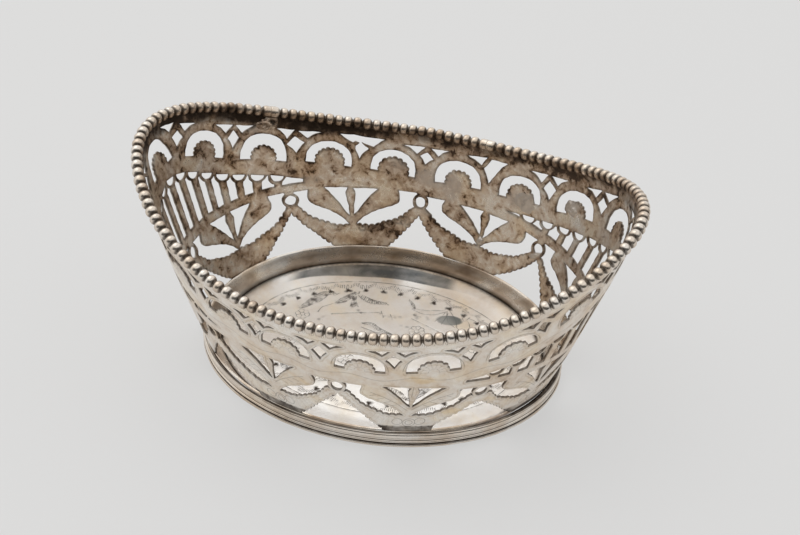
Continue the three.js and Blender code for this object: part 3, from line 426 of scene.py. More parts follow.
def fish_hole(s0, s1):
    d, b0, w = s1 - s0, float(low_band_bottom(s0)) - 20.3, float(near_side(s0))
    put = lambda q, h, more: (s0 + q * d, h + more * w + b0 * min(1, max(0, (h - 8) / 12)))
    low = np.array([put(*p) for p in FISH_LOW])
    seg = curve([tuple(low[0])] + [(*p, 1) for p in low[1:-1]] + [tuple(low[-1])], step=0.4)
    seg = seg[:np.argmin(np.linalg.norm(seg - low[-1], axis=1)) + 1]
    edge = scalloped(seg, 2.1, 0.52, 1.0 if d > 0 else -1.0)
    upper = [put(*p) for p in FISH_UP]
    ring = [put(*p) for p in FISH_RING]
    up_line = curve([tuple(low[-1])] + [(*p, 1) for p in upper[:-1]] + [tuple(upper[-1])], step=0.45)
    up_line = up_line[1:np.argmin(np.linalg.norm(up_line - np.array(upper[-1]), axis=1)) + 1]
    ring_line = curve([tuple(ring[0])] + [(*p, 1) for p in ring[1:-1]] + [tuple(ring[-1])], step=0.45)
    ring_line = ring_line[:np.argmin(np.linalg.norm(ring_line - np.array(ring[-1]), axis=1))]
    p = adjusted(np.vstack([ring_line, edge, up_line]), FISH_FIT.get((key_of(s0), key_of(s1))))[len(ring_line):]
    # the side by the ring follows the ring, which is left as a thin wire
    rs, rh, rx, ry = ring_place(s0)
    sign = 1.0 if d > 0 else -1.0
    a = np.radians(np.linspace(60, -46, 10))
    arc = np.stack([rs + sign * (rx + 1.0) * np.cos(a), rh + (ry + 1.0) * np.sin(a)], 1)
    top = np.array([[rs + sign * ((rx + 1.0) * 0.5 + 0.25), p[-1, 1]]])
    arc = arc[arc[:, 1] < p[-1, 1] - 0.15]
    keep = np.hypot(p[:, 0] - rs, p[:, 1] - rh) > rx + 1.05
    return np.vstack([top, arc, p[keep]])


def moon_hole(s0):
    a = np.linspace(PI, 2 * PI, 13)
    p = placed(np.stack([2.08 * np.cos(a), 1.95 * np.sin(a)], 1), s0, float(main_band_edge(s0)), math.atan(slope_of(main_band_edge, s0)))
    f = MOON_FIT.get(key_of(s0))
    return p if f is None else adjusted(p, (*f, 0))


def bar_hole(c0, c1, first, last):
    left, right_ = (c0 if first else c0 + 1.3), (c1 if last else c1 - 1.3)
    s = np.linspace(left, right_, 15)
    sm = key_of((left + right_) / 2)
    down, ds, lean = (1.05, 0.4, 1.0) if 55 < sm < 73 else ((0.9, -0.1, 1.1) if 40 < sm < 100 else ((0.15, -0.9, 0.3) if -76 < sm < -30 else (0, 0, 0)))
    off = ds - lean / 2
    y = main_band_edge(s + off) - 0.3 - down
    for c, skip in ((c0, first), (c1, last)):
        if skip:
            continue
        m = moon_hole(c)
        m = np.vstack([m * (1 - f) + np.roll(m, -1, 0) * f for f in (0, 0.34, 0.67)])
        for i, si in enumerate(s + off):
            gap = 0.75 ** 2 - (m[:, 0] - si) ** 2
            if (gap > 0).any():
                y[i] = min(y[i], (m[gap > 0, 1] - np.sqrt(gap[gap > 0])).min())
    floor_ = low_band_top(s) - down * 0.9
    y = np.maximum(y, floor_ + 0.02)
    if (y - floor_).max() < 0.4:
        return None
    keep = (y - floor_) > 0.06
    if first:
        keep[0] = True
    if last:
        keep[-1] = True
    s, y, floor_ = s[keep], y[keep], floor_[keep]
    top = np.stack([s, y], 1)
    hgt = y - floor_
    low = np.array([[s[-1], floor_[-1]], [s[0], floor_[0]]])
    pts = [low[1] + (top[0] - low[1]) * f for f in np.linspace(0, 1, max(2, int(hgt[0] / 1.2) + 1))[:-1]] if hgt[0] > 0.3 else []
    pts += list(top)
    if hgt[-1] > 0.3:
        pts += [top[-1] + (low[0] - top[-1]) * f for f in np.linspace(0, 1, max(2, int(hgt[-1] / 1.2) + 1))[1:]]
    n_b = max(1, int((s[-1] - s[0]) / 1.2))
    a, b = pts[-1], (pts[0] if hgt[0] > 0.3 else low[1])
    pts += [a + (b - a) * j / n_b for j in range(1, n_b)]
    p = np.array(pts)
    rise = np.clip((p[:, 1] - floor_.mean()) / max(1.0, float(hgt.max())), 0, 1)
    p[:, 0] += ds + lean / 2 - lean * rise
    return p


def wobble(p):
    s, h = p[:, 0], p[:, 1]
    ds = np.sin(1.31 * s + 2.1 * h + 3.1) + np.sin(-0.83 * s + 1.9 * h + 0.7) + 0.6 * np.sin(2.9 * s - 1.1 * h)
    dh = np.sin(1.77 * s - 1.2 * h + 1.3) + np.sin(0.71 * s + 2.3 * h + 4.4) + 0.6 * np.sin(2.3 * s + 2.1 * h)
    return p + 0.045 * np.stack([ds, dh], 1)


holes = []
for i, s0 in enumerate(ARCHES):
    holes.append(arch_hole(s0))
    nxt = ARCHES[i + 1] if i + 1 < len(ARCHES) else ARCHES[0] + ROUND
    holes += spandrel_holes((s0 + nxt) / 2)
for r0 in RINGS:
    holes.append(ring_hole(r0))
    ahead = min((b - r0) % ROUND for b in BUDS)
    behind = min((r0 - b) % ROUND for b in BUDS)
    holes += [fish_hole(r0, r0 + ahead), fish_hole(r0, r0 - behind)]
for b0 in BUDS:
    holes += leaf_holes(b0)
for bars, tips in BARS:
    holes += [moon_hole(c) for c in bars]
    stops = [tips[0], *bars, tips[1]]
    for i in range(1, len(stops)):
        hole = bar_hole(stops[i - 1], stops[i], i == 1, i == len(stops) - 1)
        if hole is not None:
            holes.append(hole)


def signed_area(p):
    x, y = p[:, 0], p[:, 1]
    return 0.5 * float(np.sum(x * np.roll(y, -1) - np.roll(x, -1) * y))


def tidy(p, least=0.06):
    keep = [0]
    for i in range(1, len(p)):
        if np.linalg.norm(p[i] - p[keep[-1]]) > least:
            keep.append(i)
    if np.linalg.norm(p[keep[-1]] - p[0]) < least:
        keep.pop()
    p = p[keep]
    return p if signed_area(p) > 0 else p[::-1]


def inset(p, d, closed=True):
    """Moves a loop to its right, into the metal round an opening that runs anticlockwise."""
    if closed:
        a, b = np.roll(p, 1, 0), np.roll(p, -1, 0)
    else:
        a, b = np.vstack([p[:1], p[:-1]]), np.vstack([p[1:], p[-1:]])
    t1, t2 = unit(p - a), unit(b - p)
    if not closed:
        t1[0], t2[-1] = t2[0], t1[-1]
    n1, n2 = np.stack([t1[:, 1], -t1[:, 0]], 1), np.stack([t2[:, 1], -t2[:, 0]], 1)
    m = unit(n1 + n2)
    k = 1.0 / np.clip((m * n1).sum(1), 0.62, 1)
    return p + m * (d * k)[:, None]


holes = [tidy(wobble(h)) for h in holes]
WALL_TOP = 1.05  # how far below the bead centre line the sheet ends, inside the beads


def foot_edge():
    """The lower edge of the wall, running with s: the foot of each garland, then over the next tent."""
    order = sorted(range(len(RINGS)), key=lambda i: RINGS[i])
    out = []
    for k, i in enumerate(order):
        line = tent_line(RINGS[i], *TENTS[i])
        out.append(line)
        j = order[(k + 1) % len(order)]
        nxt = float(tent_line(RINGS[j], *TENTS[j])[0, 0]) + (ROUND if k + 1 == len(order) else 0)
        n = max(2, int((nxt - line[-1][0]) / 0.8))
        flat = np.stack([np.linspace(line[-1][0], nxt, n + 1)[1:-1], np.zeros(n - 1)], 1)
        out.append(flat)
    p = np.vstack(out)
    return p


foot_line = foot_edge()
_n_top = 480
top_line = np.stack([np.linspace(RINGS[0], RINGS[0] + ROUND, _n_top, endpoint=False), np.zeros(_n_top)], 1)
top_line[:, 1] = wall_len(top_line[:, 0]) - WALL_TOP

K = 57.29578


def plane(p):
    r = K * np.exp(p[:, 1] / K)
    a = p[:, 0] / K
    return np.stack([r * np.cos(a), r * np.sin(a)], 1)


def unplane(q, near_s=None):
    r = np.hypot(q[:, 0], q[:, 1])
    s = np.arctan2(q[:, 1], q[:, 0]) * K
    return np.stack([np.mod(s, ROUND), K * np.log(r / K)], 1)


def in_poly(pts, poly):
    x, y = pts[:, 0], pts[:, 1]
    inside = np.zeros(len(pts), bool)
    a, b = poly, np.roll(poly, -1, 0)
    for (x0, y0), (x1, y1) in zip(a, b):
        cond = (y0 > y) != (y1 > y)
        if cond.any():
            xi = (x1 - x0) * (y[cond] - y0) / (y1 - y0) + x0
            inside[cond] ^= x[cond] < xi
    return inside


def inside_any(pts, polys):
    """pts in (s, h) with s in 0..360; polys may reach past either end."""
    hit = np.zeros(len(pts), bool)
    for p in polys:
        lo, hi = p.min(0), p.max(0)
        for turn in (-ROUND, 0, ROUND):
            if hi[0] + turn < 0 or lo[0] + turn > ROUND:
                continue
            m = (pts[:, 0] >= lo[0] + turn) & (pts[:, 0] <= hi[0] + turn) & (pts[:, 1] >= lo[1]) & (pts[:, 1] <= hi[1])
            if m.any():
                idx = np.nonzero(m)[0]
                hit[idx[in_poly(pts[idx] - np.array([turn, 0]), p)]] = True
    return hit


def nearest(tree_pts, pts):
    tree = kdtree.KDTree(len(tree_pts))
    for i, (x, y) in enumerate(tree_pts):
        tree.insert((x, y, 0.0), i)
    tree.balance()
    d = np.empty(len(pts))
    ids = np.empty(len(pts), int)
    for i, (x, y) in enumerate(pts):
        _, ids[i], d[i] = tree.find((x, y, 0.0))
    return d, ids


def wrapped(p):
    """Copies of points just past both ends of the strip, for distances."""
    q = p.copy()
    q[:, 0] = np.mod(q[:, 0], ROUND)
    return np.vstack([q, q + [ROUND, 0], q - [ROUND, 0]])


# ------------------------------------------------------------------ engraving on the outside of the wall
strokes = []  # (points, half width, depth)


def stroke(points, width=0.13, depth=0.07):
    p = np.asarray(points, float)
    seg = np.linalg.norm(np.diff(p, axis=0), axis=1)
    d = np.concatenate([[0], np.cumsum(seg)])
    if d[-1] < 0.15:
        return
    n = max(2, int(d[-1] / 0.26) + 1)
    at = np.linspace(0, d[-1], n)
    strokes.append((np.stack([np.interp(at, d, p[:, 0]), np.interp(at, d, p[:, 1])], 1), width, depth))


for s0 in ARCHES:
    w, top, r0, rc, lobes = ARCH_FIT[s0][3:]
    s1, h1, tilt = arch_place(s0)
    a0 = math.radians(-13) * min(1, rc / 0.8)
    for k in range(lobes + 1):
        a = a0 + k * (PI - 2 * a0) / lobes
        p = [((r0 * f) * math.cos(a), rc + (r0 * f) * math.sin(a)) for f in (0.5, 0.75, 1.0)]
        stroke(placed(p, s1, h1, tilt), 0.11, 0.014)
    a = np.linspace(0.1, PI - 0.1, 26)
    stroke(placed(np.stack([1.45 * np.cos(a), rc + 1.45 * np.sin(a)], 1), s1, h1, tilt), 0.12, 0.014)
    a = np.linspace(0.15, PI - 0.15, 40)
    stroke(placed(np.stack([(w + 0.9) * np.cos(a), (top + 1.0) * np.sin(a)], 1), s1, h1, tilt), 0.10, 0.03)
for k in range(40):  # a faint wavy line along the wide band
    sa, sb = k * 9.0, k * 9.0 + 9.0
    ss = np.linspace(sa, sb, 30)
    mid = (arch_line(ss) + main_band_edge(ss)) / 2 - 0.2
    stroke(np.stack([ss, mid + 0.9 * np.sin(2 * PI * ss / 18.0)], 1), 0.11, 0.02)
for i, r0 in enumerate(RINGS):  # faint ribs across both garlands
    for sign in (1, -1):
        b1 = min((b - r0) % ROUND for b in BUDS) if sign > 0 else min((r0 - b) % ROUND for b in BUDS)
        s1 = r0 + sign * b1
        ds, low_, high_, apex, fl_, fh_ = TENTS[i]
        half, f = (high_, fh_) if sign > 0 else (low_, fl_)
        w = float(near_side(r0))
        b0 = float(low_band_bottom(r0)) - 20.3
        fl = np.array([(r0 + q * (s1 - r0), h + more * w + b0 * min(1, max(0, (h - 8) / 12))) for q, h, more in FISH_LOW])
        tl = np.array([(0, apex), (0.13 * half, 0.775 * apex * (1 + 0.3 * (f - 1))), (0.317 * half, 0.535 * apex * (1 + 0.55 * (f - 1))),
                       (0.52 * half, 0.34 * apex * (1 + 0.8 * (f - 1))), (0.7 * half, 0.186 * apex * f), (half, 0.0), (half + 4.5, 0.0)])
        tl = np.stack([r0 + ds + sign * tl[:, 0], tl[:, 1]], 1)
        res = lambda p, n: np.stack([np.interp(np.linspace(0, 1, n), np.linspace(0, 1, len(p)), p[:, j]) for j in (0, 1)], 1)
        A, B = res(fl, 40), res(tl, 40)
        for k in range(2, 38, 3):
            a_, b_ = A[k], B[k]
            bow = np.array([0.5 * sign, -0.15])
            stroke([a_ + (b_ - a_) * 0.06, a_ + (b_ - a_) * 0.35 + bow * 0.6, a_ + (b_ - a_) * 0.7 + bow * 0.6, a_ + (b_ - a_) * 0.95], 0.12, 0.006)
for b0 in BUDS:
    a = np.linspace(0, 2 * PI, 40)
    for cx, cy, r in ((0.9, 4.9, 2.0), (0.9, 4.9, 1.15), (4.3, 5.6, 1.7), (-2.9, 5.3, 1.6)):
        stroke(np.stack([b0 + cx + r * np.cos(a), cy + r * np.sin(a)], 1), 0.14, 0.05)
    hb = float(low_band_bottom(b0))
    for sign in (1, -1):
        stroke([(b0 + sign * 0.9, hb - 9.5), (b0 + sign * 4.2, hb - 6.4), (b0 + sign * 8.0, hb - 3.8), (b0 + sign * 11.5, hb - 2.2)], 0.11, 0.03)
        for f in (0.25, 0.45, 0.65, 0.85):
            x, y = b0 + sign * (1.5 + 10.0 * f), hb - 9.0 + 7.2 * f
            stroke([(x, y), (x + sign * 1.5, y - 0.6)], 0.10, 0.03)
    stroke([(b0, hb + 1.2), (b0, hb - 2.8)], 0.11, 0.03)
for k in range(720):  # chasing under the beads
    s0 = k * 0.5 + rng.normal(0, 0.05)
    top = float(wall_len(s0))
    stroke([(s0, top - 1.5), (s0, top - 2.5 + rng.normal(0, 0.12))], 0.09, 0.03)

stroke_pts = np.vstack([p for p, _, _ in strokes])
stroke_w = np.concatenate([np.full(len(p), w) for p, w, _ in strokes])
stroke_d = np.concatenate([np.full(len(p), d) for p, _, d in strokes])


def stroke_sides():
    out = []
    for p, w, _ in strokes:
        t = unit(np.gradient(p, axis=0))
        n = np.stack([-t[:, 1], t[:, 0]], 1)
        out += [p, p + n * w * 1.15, p - n * w * 1.15]
    return np.vstack(out)


# ------------------------------------------------------------------ mesh helpers
def make_object(name, verts_mm, faces, attrs=None, normals=None, smooth=True):
    me = bpy.data.meshes.new(name)
    v = np.asarray(verts_mm, float) * MM
    tri = [f for f in faces if len(f)] if isinstance(faces, list) else [faces]
    me.vertices.add(len(v))
    me.vertices.foreach_set("co", v.ravel())
    loops = np.concatenate([np.asarray(f, np.int32).ravel() for f in tri])
    totals = np.concatenate([np.full(len(f), np.asarray(f).shape[1], np.int32) for f in tri])
    starts = np.concatenate([[0], np.cumsum(totals)[:-1]]).astype(np.int32)
    me.loops.add(len(loops))
    me.loops.foreach_set("vertex_index", loops.astype(np.int32))
    me.polygons.add(len(totals))
    me.polygons.foreach_set("loop_start", starts)
    me.polygons.foreach_set("loop_total", totals)
    me.polygons.foreach_set("use_smooth", np.full(len(totals), smooth))
    me.update(calc_edges=True)
    me.validate()
    for key, val in (attrs or {}).items():
        if len(val) == len(me.vertices):
            at = me.attributes.new(key, "FLOAT", "POINT")
            at.data.foreach_set("value", np.asarray(val, np.float32))
    if normals is not None and len(normals) == len(me.vertices):
        me.normals_split_custom_set_from_vertices([Vector(n) for n in normals])
    ob = bpy.data.objects.new(name, me)
    bpy.context.scene.collection.objects.link(ob)
    return ob


def face_normals(v, f):
    f = np.asarray(f)
    a, b, c = v[f[:, 0]], v[f[:, 1]], v[f[:, 2]]
    return np.cross(b - a, c - a)


def add_normals(total, f, n):
    for k in range(f.shape[1]):
        np.add.at(total, f[:, k], n)


def grid_faces(rows, cols, wrap_cols=True, wrap_rows=False, flip=False):
    """Quads of a rows x cols grid of vertices, vertex index = row * cols + col."""
    r = np.arange(rows if wrap_rows else rows - 1)
    c = np.arange(cols if wrap_cols else cols - 1)
    R, C = np.meshgrid(r, c, indexing="ij")
    R2, C2 = (R + 1) % rows, (C + 1) % cols
    q = np.stack([R * cols + C, R * cols + C2, R2 * cols + C2, R2 * cols + C], -1).reshape(-1, 4)
    return q[:, ::-1] if flip else q


# ------------------------------------------------------------------ pierced wall
def build_wall():
    bevel, half = 0.13, SHEET / 2
    loops = [(h, True) for h in holes]
    # each loop: the cut itself and its inset; hole loops run anticlockwise, so metal is on their right
    cut = [h for h in holes]
    ins = [inset(h, bevel) for h in holes]
    # lower edge: metal is above it, so seen along +s metal is on the left: inset with negative distance
    foot_cut = foot_line
    fl = np.vstack([foot_line[-1:] - [ROUND, 0], foot_line, foot_line[:1] + [ROUND, 0]])
    foot_in = inset(fl, -bevel, closed=False)[1:-1]
    cut_all = cut + [foot_cut, top_line]
    ins_all = ins + [foot_in, top_line - [0, 0.0]]
    counts = [len(c) for c in cut_all]
    starts = np.concatenate([[0], np.cumsum(counts)])
    C = np.vstack(cut_all)
    I = np.vstack(ins_all)
    nb = len(C)

    # a dense cloud along every edge, for distances
    dense = []
    for c in cut_all:
        d = np.roll(c, -1, 0) - c
        d[:, 0] = (d[:, 0] + 180) % 360 - 180
        for f in (0, 0.25, 0.5, 0.75):
            dense.append(c + d * f)
    dense_real = wrapped(np.vstack(dense[:-4]))

    def surface(side):
        step = 0.66 if side > 0 else 0.74
        hs = np.arange(0.3, 62.5, step * 0.87)
        grid = []
        for k, hh in enumerate(hs):
            ss = np.arange(0, ROUND, step) + (step / 2 if k % 2 else 0)
            grid.append(np.stack([ss, np.full(len(ss), hh)], 1))
        g = np.vstack(grid)
        g += np.random.default_rng(3).uniform(-0.08, 0.08, g.shape)
        g[:, 0] = np.mod(g[:, 0], ROUND)
        g = g[g[:, 1] < wall_len(g[:, 0]) - WALL_TOP - 0.35]
        if side > 0:
            sp = stroke_sides()
            sp[:, 0] = np.mod(sp[:, 0], ROUND)
            sp = sp[(sp[:, 1] > 0.3) & (sp[:, 1] < wall_len(sp[:, 0]) - WALL_TOP - 0.3)]
            d, _ = nearest(wrapped(stroke_pts), g)
            g = g[d > 0.36]
            n_grid = len(g)
            g = np.vstack([g, sp])
        feet = [tent_line_poly for tent_line_poly in tent_polys]
        g = g[~inside_any(g, ins_bounds + feet)]
        d, _ = nearest(dense_real, g)
        g = g[d > 0.33]
        pts = np.vstack([I, g])
        P = plane(pts)
        edges = []
        for a, n in zip(starts[:-1], counts):
            edges += [(a + i, a + (i + 1) % n) for i in range(n)]
        vs, _, fs, ov, _, _ = delaunay_2d_cdt([Vector(p) for p in P], [(int(a), int(b)) for a, b in edges], [], 0, 1e-6, True)
        vs = np.array([[v.x, v.y] for v in vs])
        F = np.array([f for f in fs if len(f) == 3], int)
        sh = unplane(vs)
        src = np.full(len(vs), -1)
        for i, o in enumerate(ov):
            if o:
                src[i] = o[0]
        cen = unplane(vs[F].mean(1))
        bad = inside_any(cen, ins_bounds + feet)
        r = np.hypot(*vs[F].mean(1).T)
        top_h = wall_len(cen[:, 0]) - WALL_TOP
        bad |= cen[:, 1] > top_h - 1e-3
        bad |= r < K * math.exp(0.0 / K) + 1e-4
        F = F[~bad]
        area = 0.5 * np.cross(vs[F[:, 1]] - vs[F[:, 0]], vs[F[:, 2]] - vs[F[:, 0]])
        F = F[np.abs(area) > 1e-9]
        return sh, F, src

    ins_bounds = [i for i in ins]
    tent_polys = []
    # the area under each tent, from the foot line itself
    fi = foot_in
    zero = np.nonzero(np.abs(foot_line[:, 1]) < 1e-9)[0]
    runs, cur = [], []
    for k in range(len(foot_line)):
        if foot_line[k, 1] > 1e-9:
            cur.append(k)
        elif cur:
            runs.append(cur)
            cur = []
    if cur:
        runs.append(cur)
    for run in runs:
        idx = [run[0] - 1] + run + [run[-1] + 1]
        idx = [i % len(foot_line) for i in idx]
        poly = fi[idx].copy()
        base0, base1 = poly[0].copy(), poly[-1].copy()
        base0[1] = base1[1] = -2.0
        tent_polys.append(np.vstack([base0, poly, base1]))

    out_sh, out_F, out_src = surface(+1)
    in_sh, in_F, in_src = surface(-1)
    return C, I, starts, counts, (out_sh, out_F, out_src), (in_sh, in_F, in_src), dense_real, bevel, half


C, I, starts, counts, OUT, INN, dense_real, bevel, half = build_wall()


def soft(x, a, b):
    u = np.clip((x - a) / (b - a), 0, 1)
    return u * u * (3 - 2 * u)


def blob(s, h, s0, h0, rs, rh, edge=0.35):
    ds = (s - s0 + 180) % 360 - 180
    d = np.sqrt((ds / rs) ** 2 + ((h - h0) / rh) ** 2)
    return 1 - soft(d, 1 - edge, 1 + edge)


def finish_wall():
    nb = len(C)
    parts_v, parts_attr, normal_sum = [], [], []
    faces3, faces4 = [], []
    offset = 0
    result = {}
    maps = []
    for side, (sh, F, src) in ((1, OUT), (-1, INN)):
        s, h = sh[:, 0], sh[:, 1]
        t = np.full(len(s), half * side)
        cav = np.zeros(len(s))
        if side > 0:
            d, ids = nearest(wrapped(stroke_pts), sh)
            ids %= len(stroke_pts)
            w = stroke_w[ids]
            groove = np.clip(1 - d / (w * 1.2), 0, 1)
            t = t - stroke_d[ids] * groove * 1.25
            cav = np.maximum(cav, groove * np.clip(stroke_d[ids] / 0.028, 0, 1) * 0.62)
        else:
            # studs and seams of old repairs stand a little proud of the inside
            for (a, b, r) in STUDS:
                ds = (s - a + 180) % 360 - 180
                d = np.hypot(ds, h - b)
                ringy = np.exp(-((d - r) / 0.28) ** 2)
                t = t - 0.22 * ringy
                cav = np.maximum(cav, 0.75 * np.exp(-(d / (r * 0.5)) ** 2) + 0.55 * np.exp(-((d - r - 0.55) / 0.25) ** 2))
        edge_d, _ = nearest(dense_real, sh)
        for r0 in RINGS:  # the rings are thin round wires, a touch proud of the sheet
            rs, rh, rx, ry = ring_place(r0)
            d = np.hypot((s - rs + 180) % 360 - 180, h - rh)
            t = t + side * 0.16 * np.exp(-((d - rx - 0.5) / 0.36) ** 2)
        for s0 in ARCHES:  # the rosettes are softly embossed
            s1, h1, tilt = arch_place(s0)
            rr0, rc = ARCH_FIT[s0][5:7]
            ds, dh = (s - s1 + 180) % 360 - 180, h - h1 - rc
            d, a = np.hypot(ds, dh) / rr0, np.arctan2(dh, ds)
            m = (d < 1.1) & (dh > -1.2)
            t = t + m * side * 0.07 * (1 - soft(d, 0.85, 1.1)) * np.sin(6.0 * d * PI * 0.9 + 1.5 * np.sin(a * 9.0))
        v = wall(s, h, t)
        n = face_normals(v, F)
        flip = (n * (v[F].mean(1) - [0, 0, 30])).sum(1).mean() < 0
        if (flip and side > 0) or (not flip and side < 0):
            F = F[:, ::-1]
        n = face_normals(v, F)
        ns = np.zeros_like(v)
        add_normals(ns, F, n)
        parts_v.append(v)
        normal_sum.append(unit(ns))
        parts_attr.append({"s": s, "h": h, "edge": edge_d, "cav": cav, "side": np.full(len(s), float(side))})
        faces3.append(F + offset)
        # where each boundary point went
        where = np.full(nb, -1)
        good = (src >= 0) & (src < nb)
        where[src[good]] = np.nonzero(good)[0]
        maps.append(where + offset)
        offset += len(v)
    # the cut: a chamfer, the sawn face and a chamfer again
    ring_t = (half - 0.11, 0.0, -half + 0.11)
    rings = []
    for tt in ring_t:
        v = wall(C[:, 0], C[:, 1], tt)
        parts_v.append(v)
        # the cut faces are painted darker, most in the middle of the sawn face: painted shade on the thickness of the
        # sheet
        parts_attr.append({"s": np.mod(C[:, 0], ROUND), "h": C[:, 1], "edge": np.zeros(nb), "cav": np.full(nb, 0.75 if tt == 0 else 0.5),
                           "side": np.full(nb, np.sign(tt) * 0.7)})
        rings.append(np.arange(nb) + offset)
        offset += nb
    chain = [maps[0]] + rings + [maps[1]]
    nxt = np.arange(nb) + 1
    for a, n in zip(starts[:-1], counts):
        nxt[a + n - 1] = a
    quads = []
    for A, B in zip(chain[:-1], chain[1:]):
        q = np.stack([A, B, B[nxt], A[nxt]], 1)
        quads.append(q)
    quads = np.vstack(quads)
    V = np.vstack(parts_v)
    # the top edge runs the other way round the metal than the holes and the foot line do
    first_top = starts[-2]
    is_top = np.concatenate([np.arange(nb) >= first_top] * 4)
    is_foot = np.concatenate([(np.arange(nb) >= starts[-3]) & (np.arange(nb) < first_top)] * 4)
    fn = face_normals(V, quads[:, :3])
    # orient each strip away from the metal: compare with the direction from cut to inset
    A_, I_ = wall(C[:, 0], C[:, 1], 0.0), wall(I[:, 0], I[:, 1], 0.0)
    away = A_ - I_
    away[first_top:] = wall(top_line[:, 0], top_line[:, 1], 0.0) - wall(top_line[:, 0], top_line[:, 1] - 0.5, 0.0)
    away4 = np.vstack([away] * 4)
    wrong = (fn * away4).sum(1) < 0
    # the chamfers tilt, so decide per loop from the middle strips
    for li, (a, n) in enumerate(zip(starts[:-1], counts)):
        ids = np.concatenate([np.arange(a, a + n) + nb * k for k in (1, 2)])
        w = wrong[ids].mean() > 0.5
        for k in range(4):
            rows = np.arange(a, a + n) + nb * k
            if w:
                quads[rows] = quads[rows][:, ::-1]
    ok = (quads >= 0).all(1)
    quads = quads[ok]
    ns = np.zeros_like(V)
    fn = face_normals(V, quads[:, :3])
    add_normals(ns, quads, fn)
    N = unit(ns)
    n_surf = len(parts_v[0]) + len(parts_v[1])
    N[:n_surf] = np.vstack(normal_sum)
    attr = {k: np.concatenate([p[k] for p in parts_attr]) for k in parts_attr[0]}
    return V, [np.vstack(faces3), quads], attr, N


# small ring-shaped studs soldered along the top of one garland on the inside, and a few others
STUDS = [(6.7, 9.8, 0.95), (9.1, 10.2, 0.9), (11.6, 9.0, 0.95), (13.6, 8.2, 0.85), (15.6, 7.4, 0.9), (17.6, 7.0, 0.85), (19.9, 6.9, 0.9), (22.2, 6.7, 0.8),
         (-22.9, 10.2, 1.0), (30.8, 6.9, 0.8)]

V, FACES, A, N = finish_wall()
s_, h_, edge_, cav_, side_ = A["s"], A["h"], A["edge"], A["cav"], A["side"]
L_ = wall_len(s_)
inner = (side_ < 0).astype(float)
inner = np.where(np.abs(side_) < 0.9, np.where(side_ < 0, 1.0, 0.0), inner)
sx = (s_ + 180) % 360 - 180  # s measured from the middle of the far side
big = waves(V[:, 0], V[:, 1], V[:, 2], 21, 24.0, 4)
mid_ = waves(V[:, 0], V[:, 1], V[:, 2], 22, 7.0, 3)
below_rim = L_ - h_
tarn = np.where(inner > 0.5, 0.40 + 0.23 * big + 0.27 * mid_, 0.14 + 0.10 * big + 0.04 * mid_)
tarn += (1 - inner) * 0.12 * soft(np.mod(s_, 360), 212.0, 245.0) * (1 - soft(np.mod(s_, 360), 300.0, 330.0)) + (1 - inner) * 0.05 * (1 - soft(np.mod(s_, 360), 120.0, 160.0)) * soft(np.mod(s_, 360), 60.0, 90.0)
tarn += inner * (-0.18 * blob(s_, h_, 38, 16, 16, 9, 0.5) - 0.10 * blob(s_, h_, 22, 21, 10, 6, 0.5) + 0.20 * blob(s_, h_, 2, 9, 17, 6, 0.5) - 0.12 * blob(s_, h_, -36, 8, 16, 7, 0.5) - 0.08 * blob(s_, h_, -28, 24, 12, 4, 0.5))
tarn += inner * (0.40 + 0.25 * waves(V[:, 0], V[:, 1], V[:, 2], 52, 6.0, 3)) * (1 - soft(below_rim, 1.8, 5.6))
tarn += inner * 0.22 * blob(s_, h_, 30, L_ - 3.5, 17, 3.0) + inner * 0.12 * blob(s_, h_, 60, L_ - 5, 30, 6)
tarn += inner * 0.10 * blob(s_, h_, 70, 44, 30, 16) - inner * 0.10 * blob(s_, h_, -20, 12, 30, 12)
# painted shade: the inside is darker within about 0.9 mm of each opening
tarn += inner * (0.14 * (1 - soft(edge_, 0.0, 0.9)))
# the outside is darker around the wide band and lighter towards the foot
tarn += (1 - inner) * (0.09 * np.exp(-((h_ - 25.0) / 5.0) ** 2) - 0.06 * (1 - soft(h_, 11.0, 17.0)))
solder = np.zeros(len(V))
for (a, b, rs, rh, k) in [(52.0, 44.8, 2.4, 1.6, 0.7), (-1.5, 26.0, 6.0, 3.0, 1.0), (-8.2, 24.3, 3.2, 4.5, 0.9), (8, 29.5, 4, 2.0, 0.6), (-0.8, 14.6, 2.2, 1.6, 0.9), (38, 23.9, 5, 1.4, 0.5),
                          (-40, 22.4, 4, 1.2, 0.6), (-72, 38.5, 5, 3, 0.4), (55, 29, 3.5, 2.5, 0.4), (30.5, 15.0, 4.5, 1.6, 0.6), (-50, 38, 3.2, 2.2, 0.9), (-31, 28, 4, 3, 0.8)]:
    solder = np.maximum(solder, inner * k * blob(s_, h_, a, b, rs, rh, 0.3))
warm = np.clip(0.45 + 0.85 * waves(V[:, 0], V[:, 1], V[:, 2], 33, 12.0, 3), 0, 1)
# cavity starts from cav; a thin dark line along the edge of each opening is painted shade
cavity = np.clip(np.where(np.abs(side_) < 0.9, cav_, np.maximum(cav_, 0.30 * np.exp(-(edge_ / 0.22) ** 2))), 0, 1)
cavity += inner * 0.5 * blob(s_, h_, 32, L_ - 2.6, 9, 1.6, 0.3)
patchy = waves(V[:, 0], V[:, 1], V[:, 2], 51, 9.0, 3)
cavity += inner * (1 - soft(below_rim, 2.2, 4.6)) * np.clip(0.50 + 0.45 * patchy, 0, 0.9)
left_end = soft(sx, 8.0, 30.0) * (1 - soft(sx, 100.0, 120.0))
right_end = soft(-sx, 62.0, 74.0) * (1 - soft(-sx, 96.0, 110.0))
cavity += inner * (0.74 + 0.3 * patchy) * (left_end * (1 - soft(below_rim, 4.4, 6.4)) + right_end * np.exp(-((below_rim - 4.6) / 1.1) ** 2))
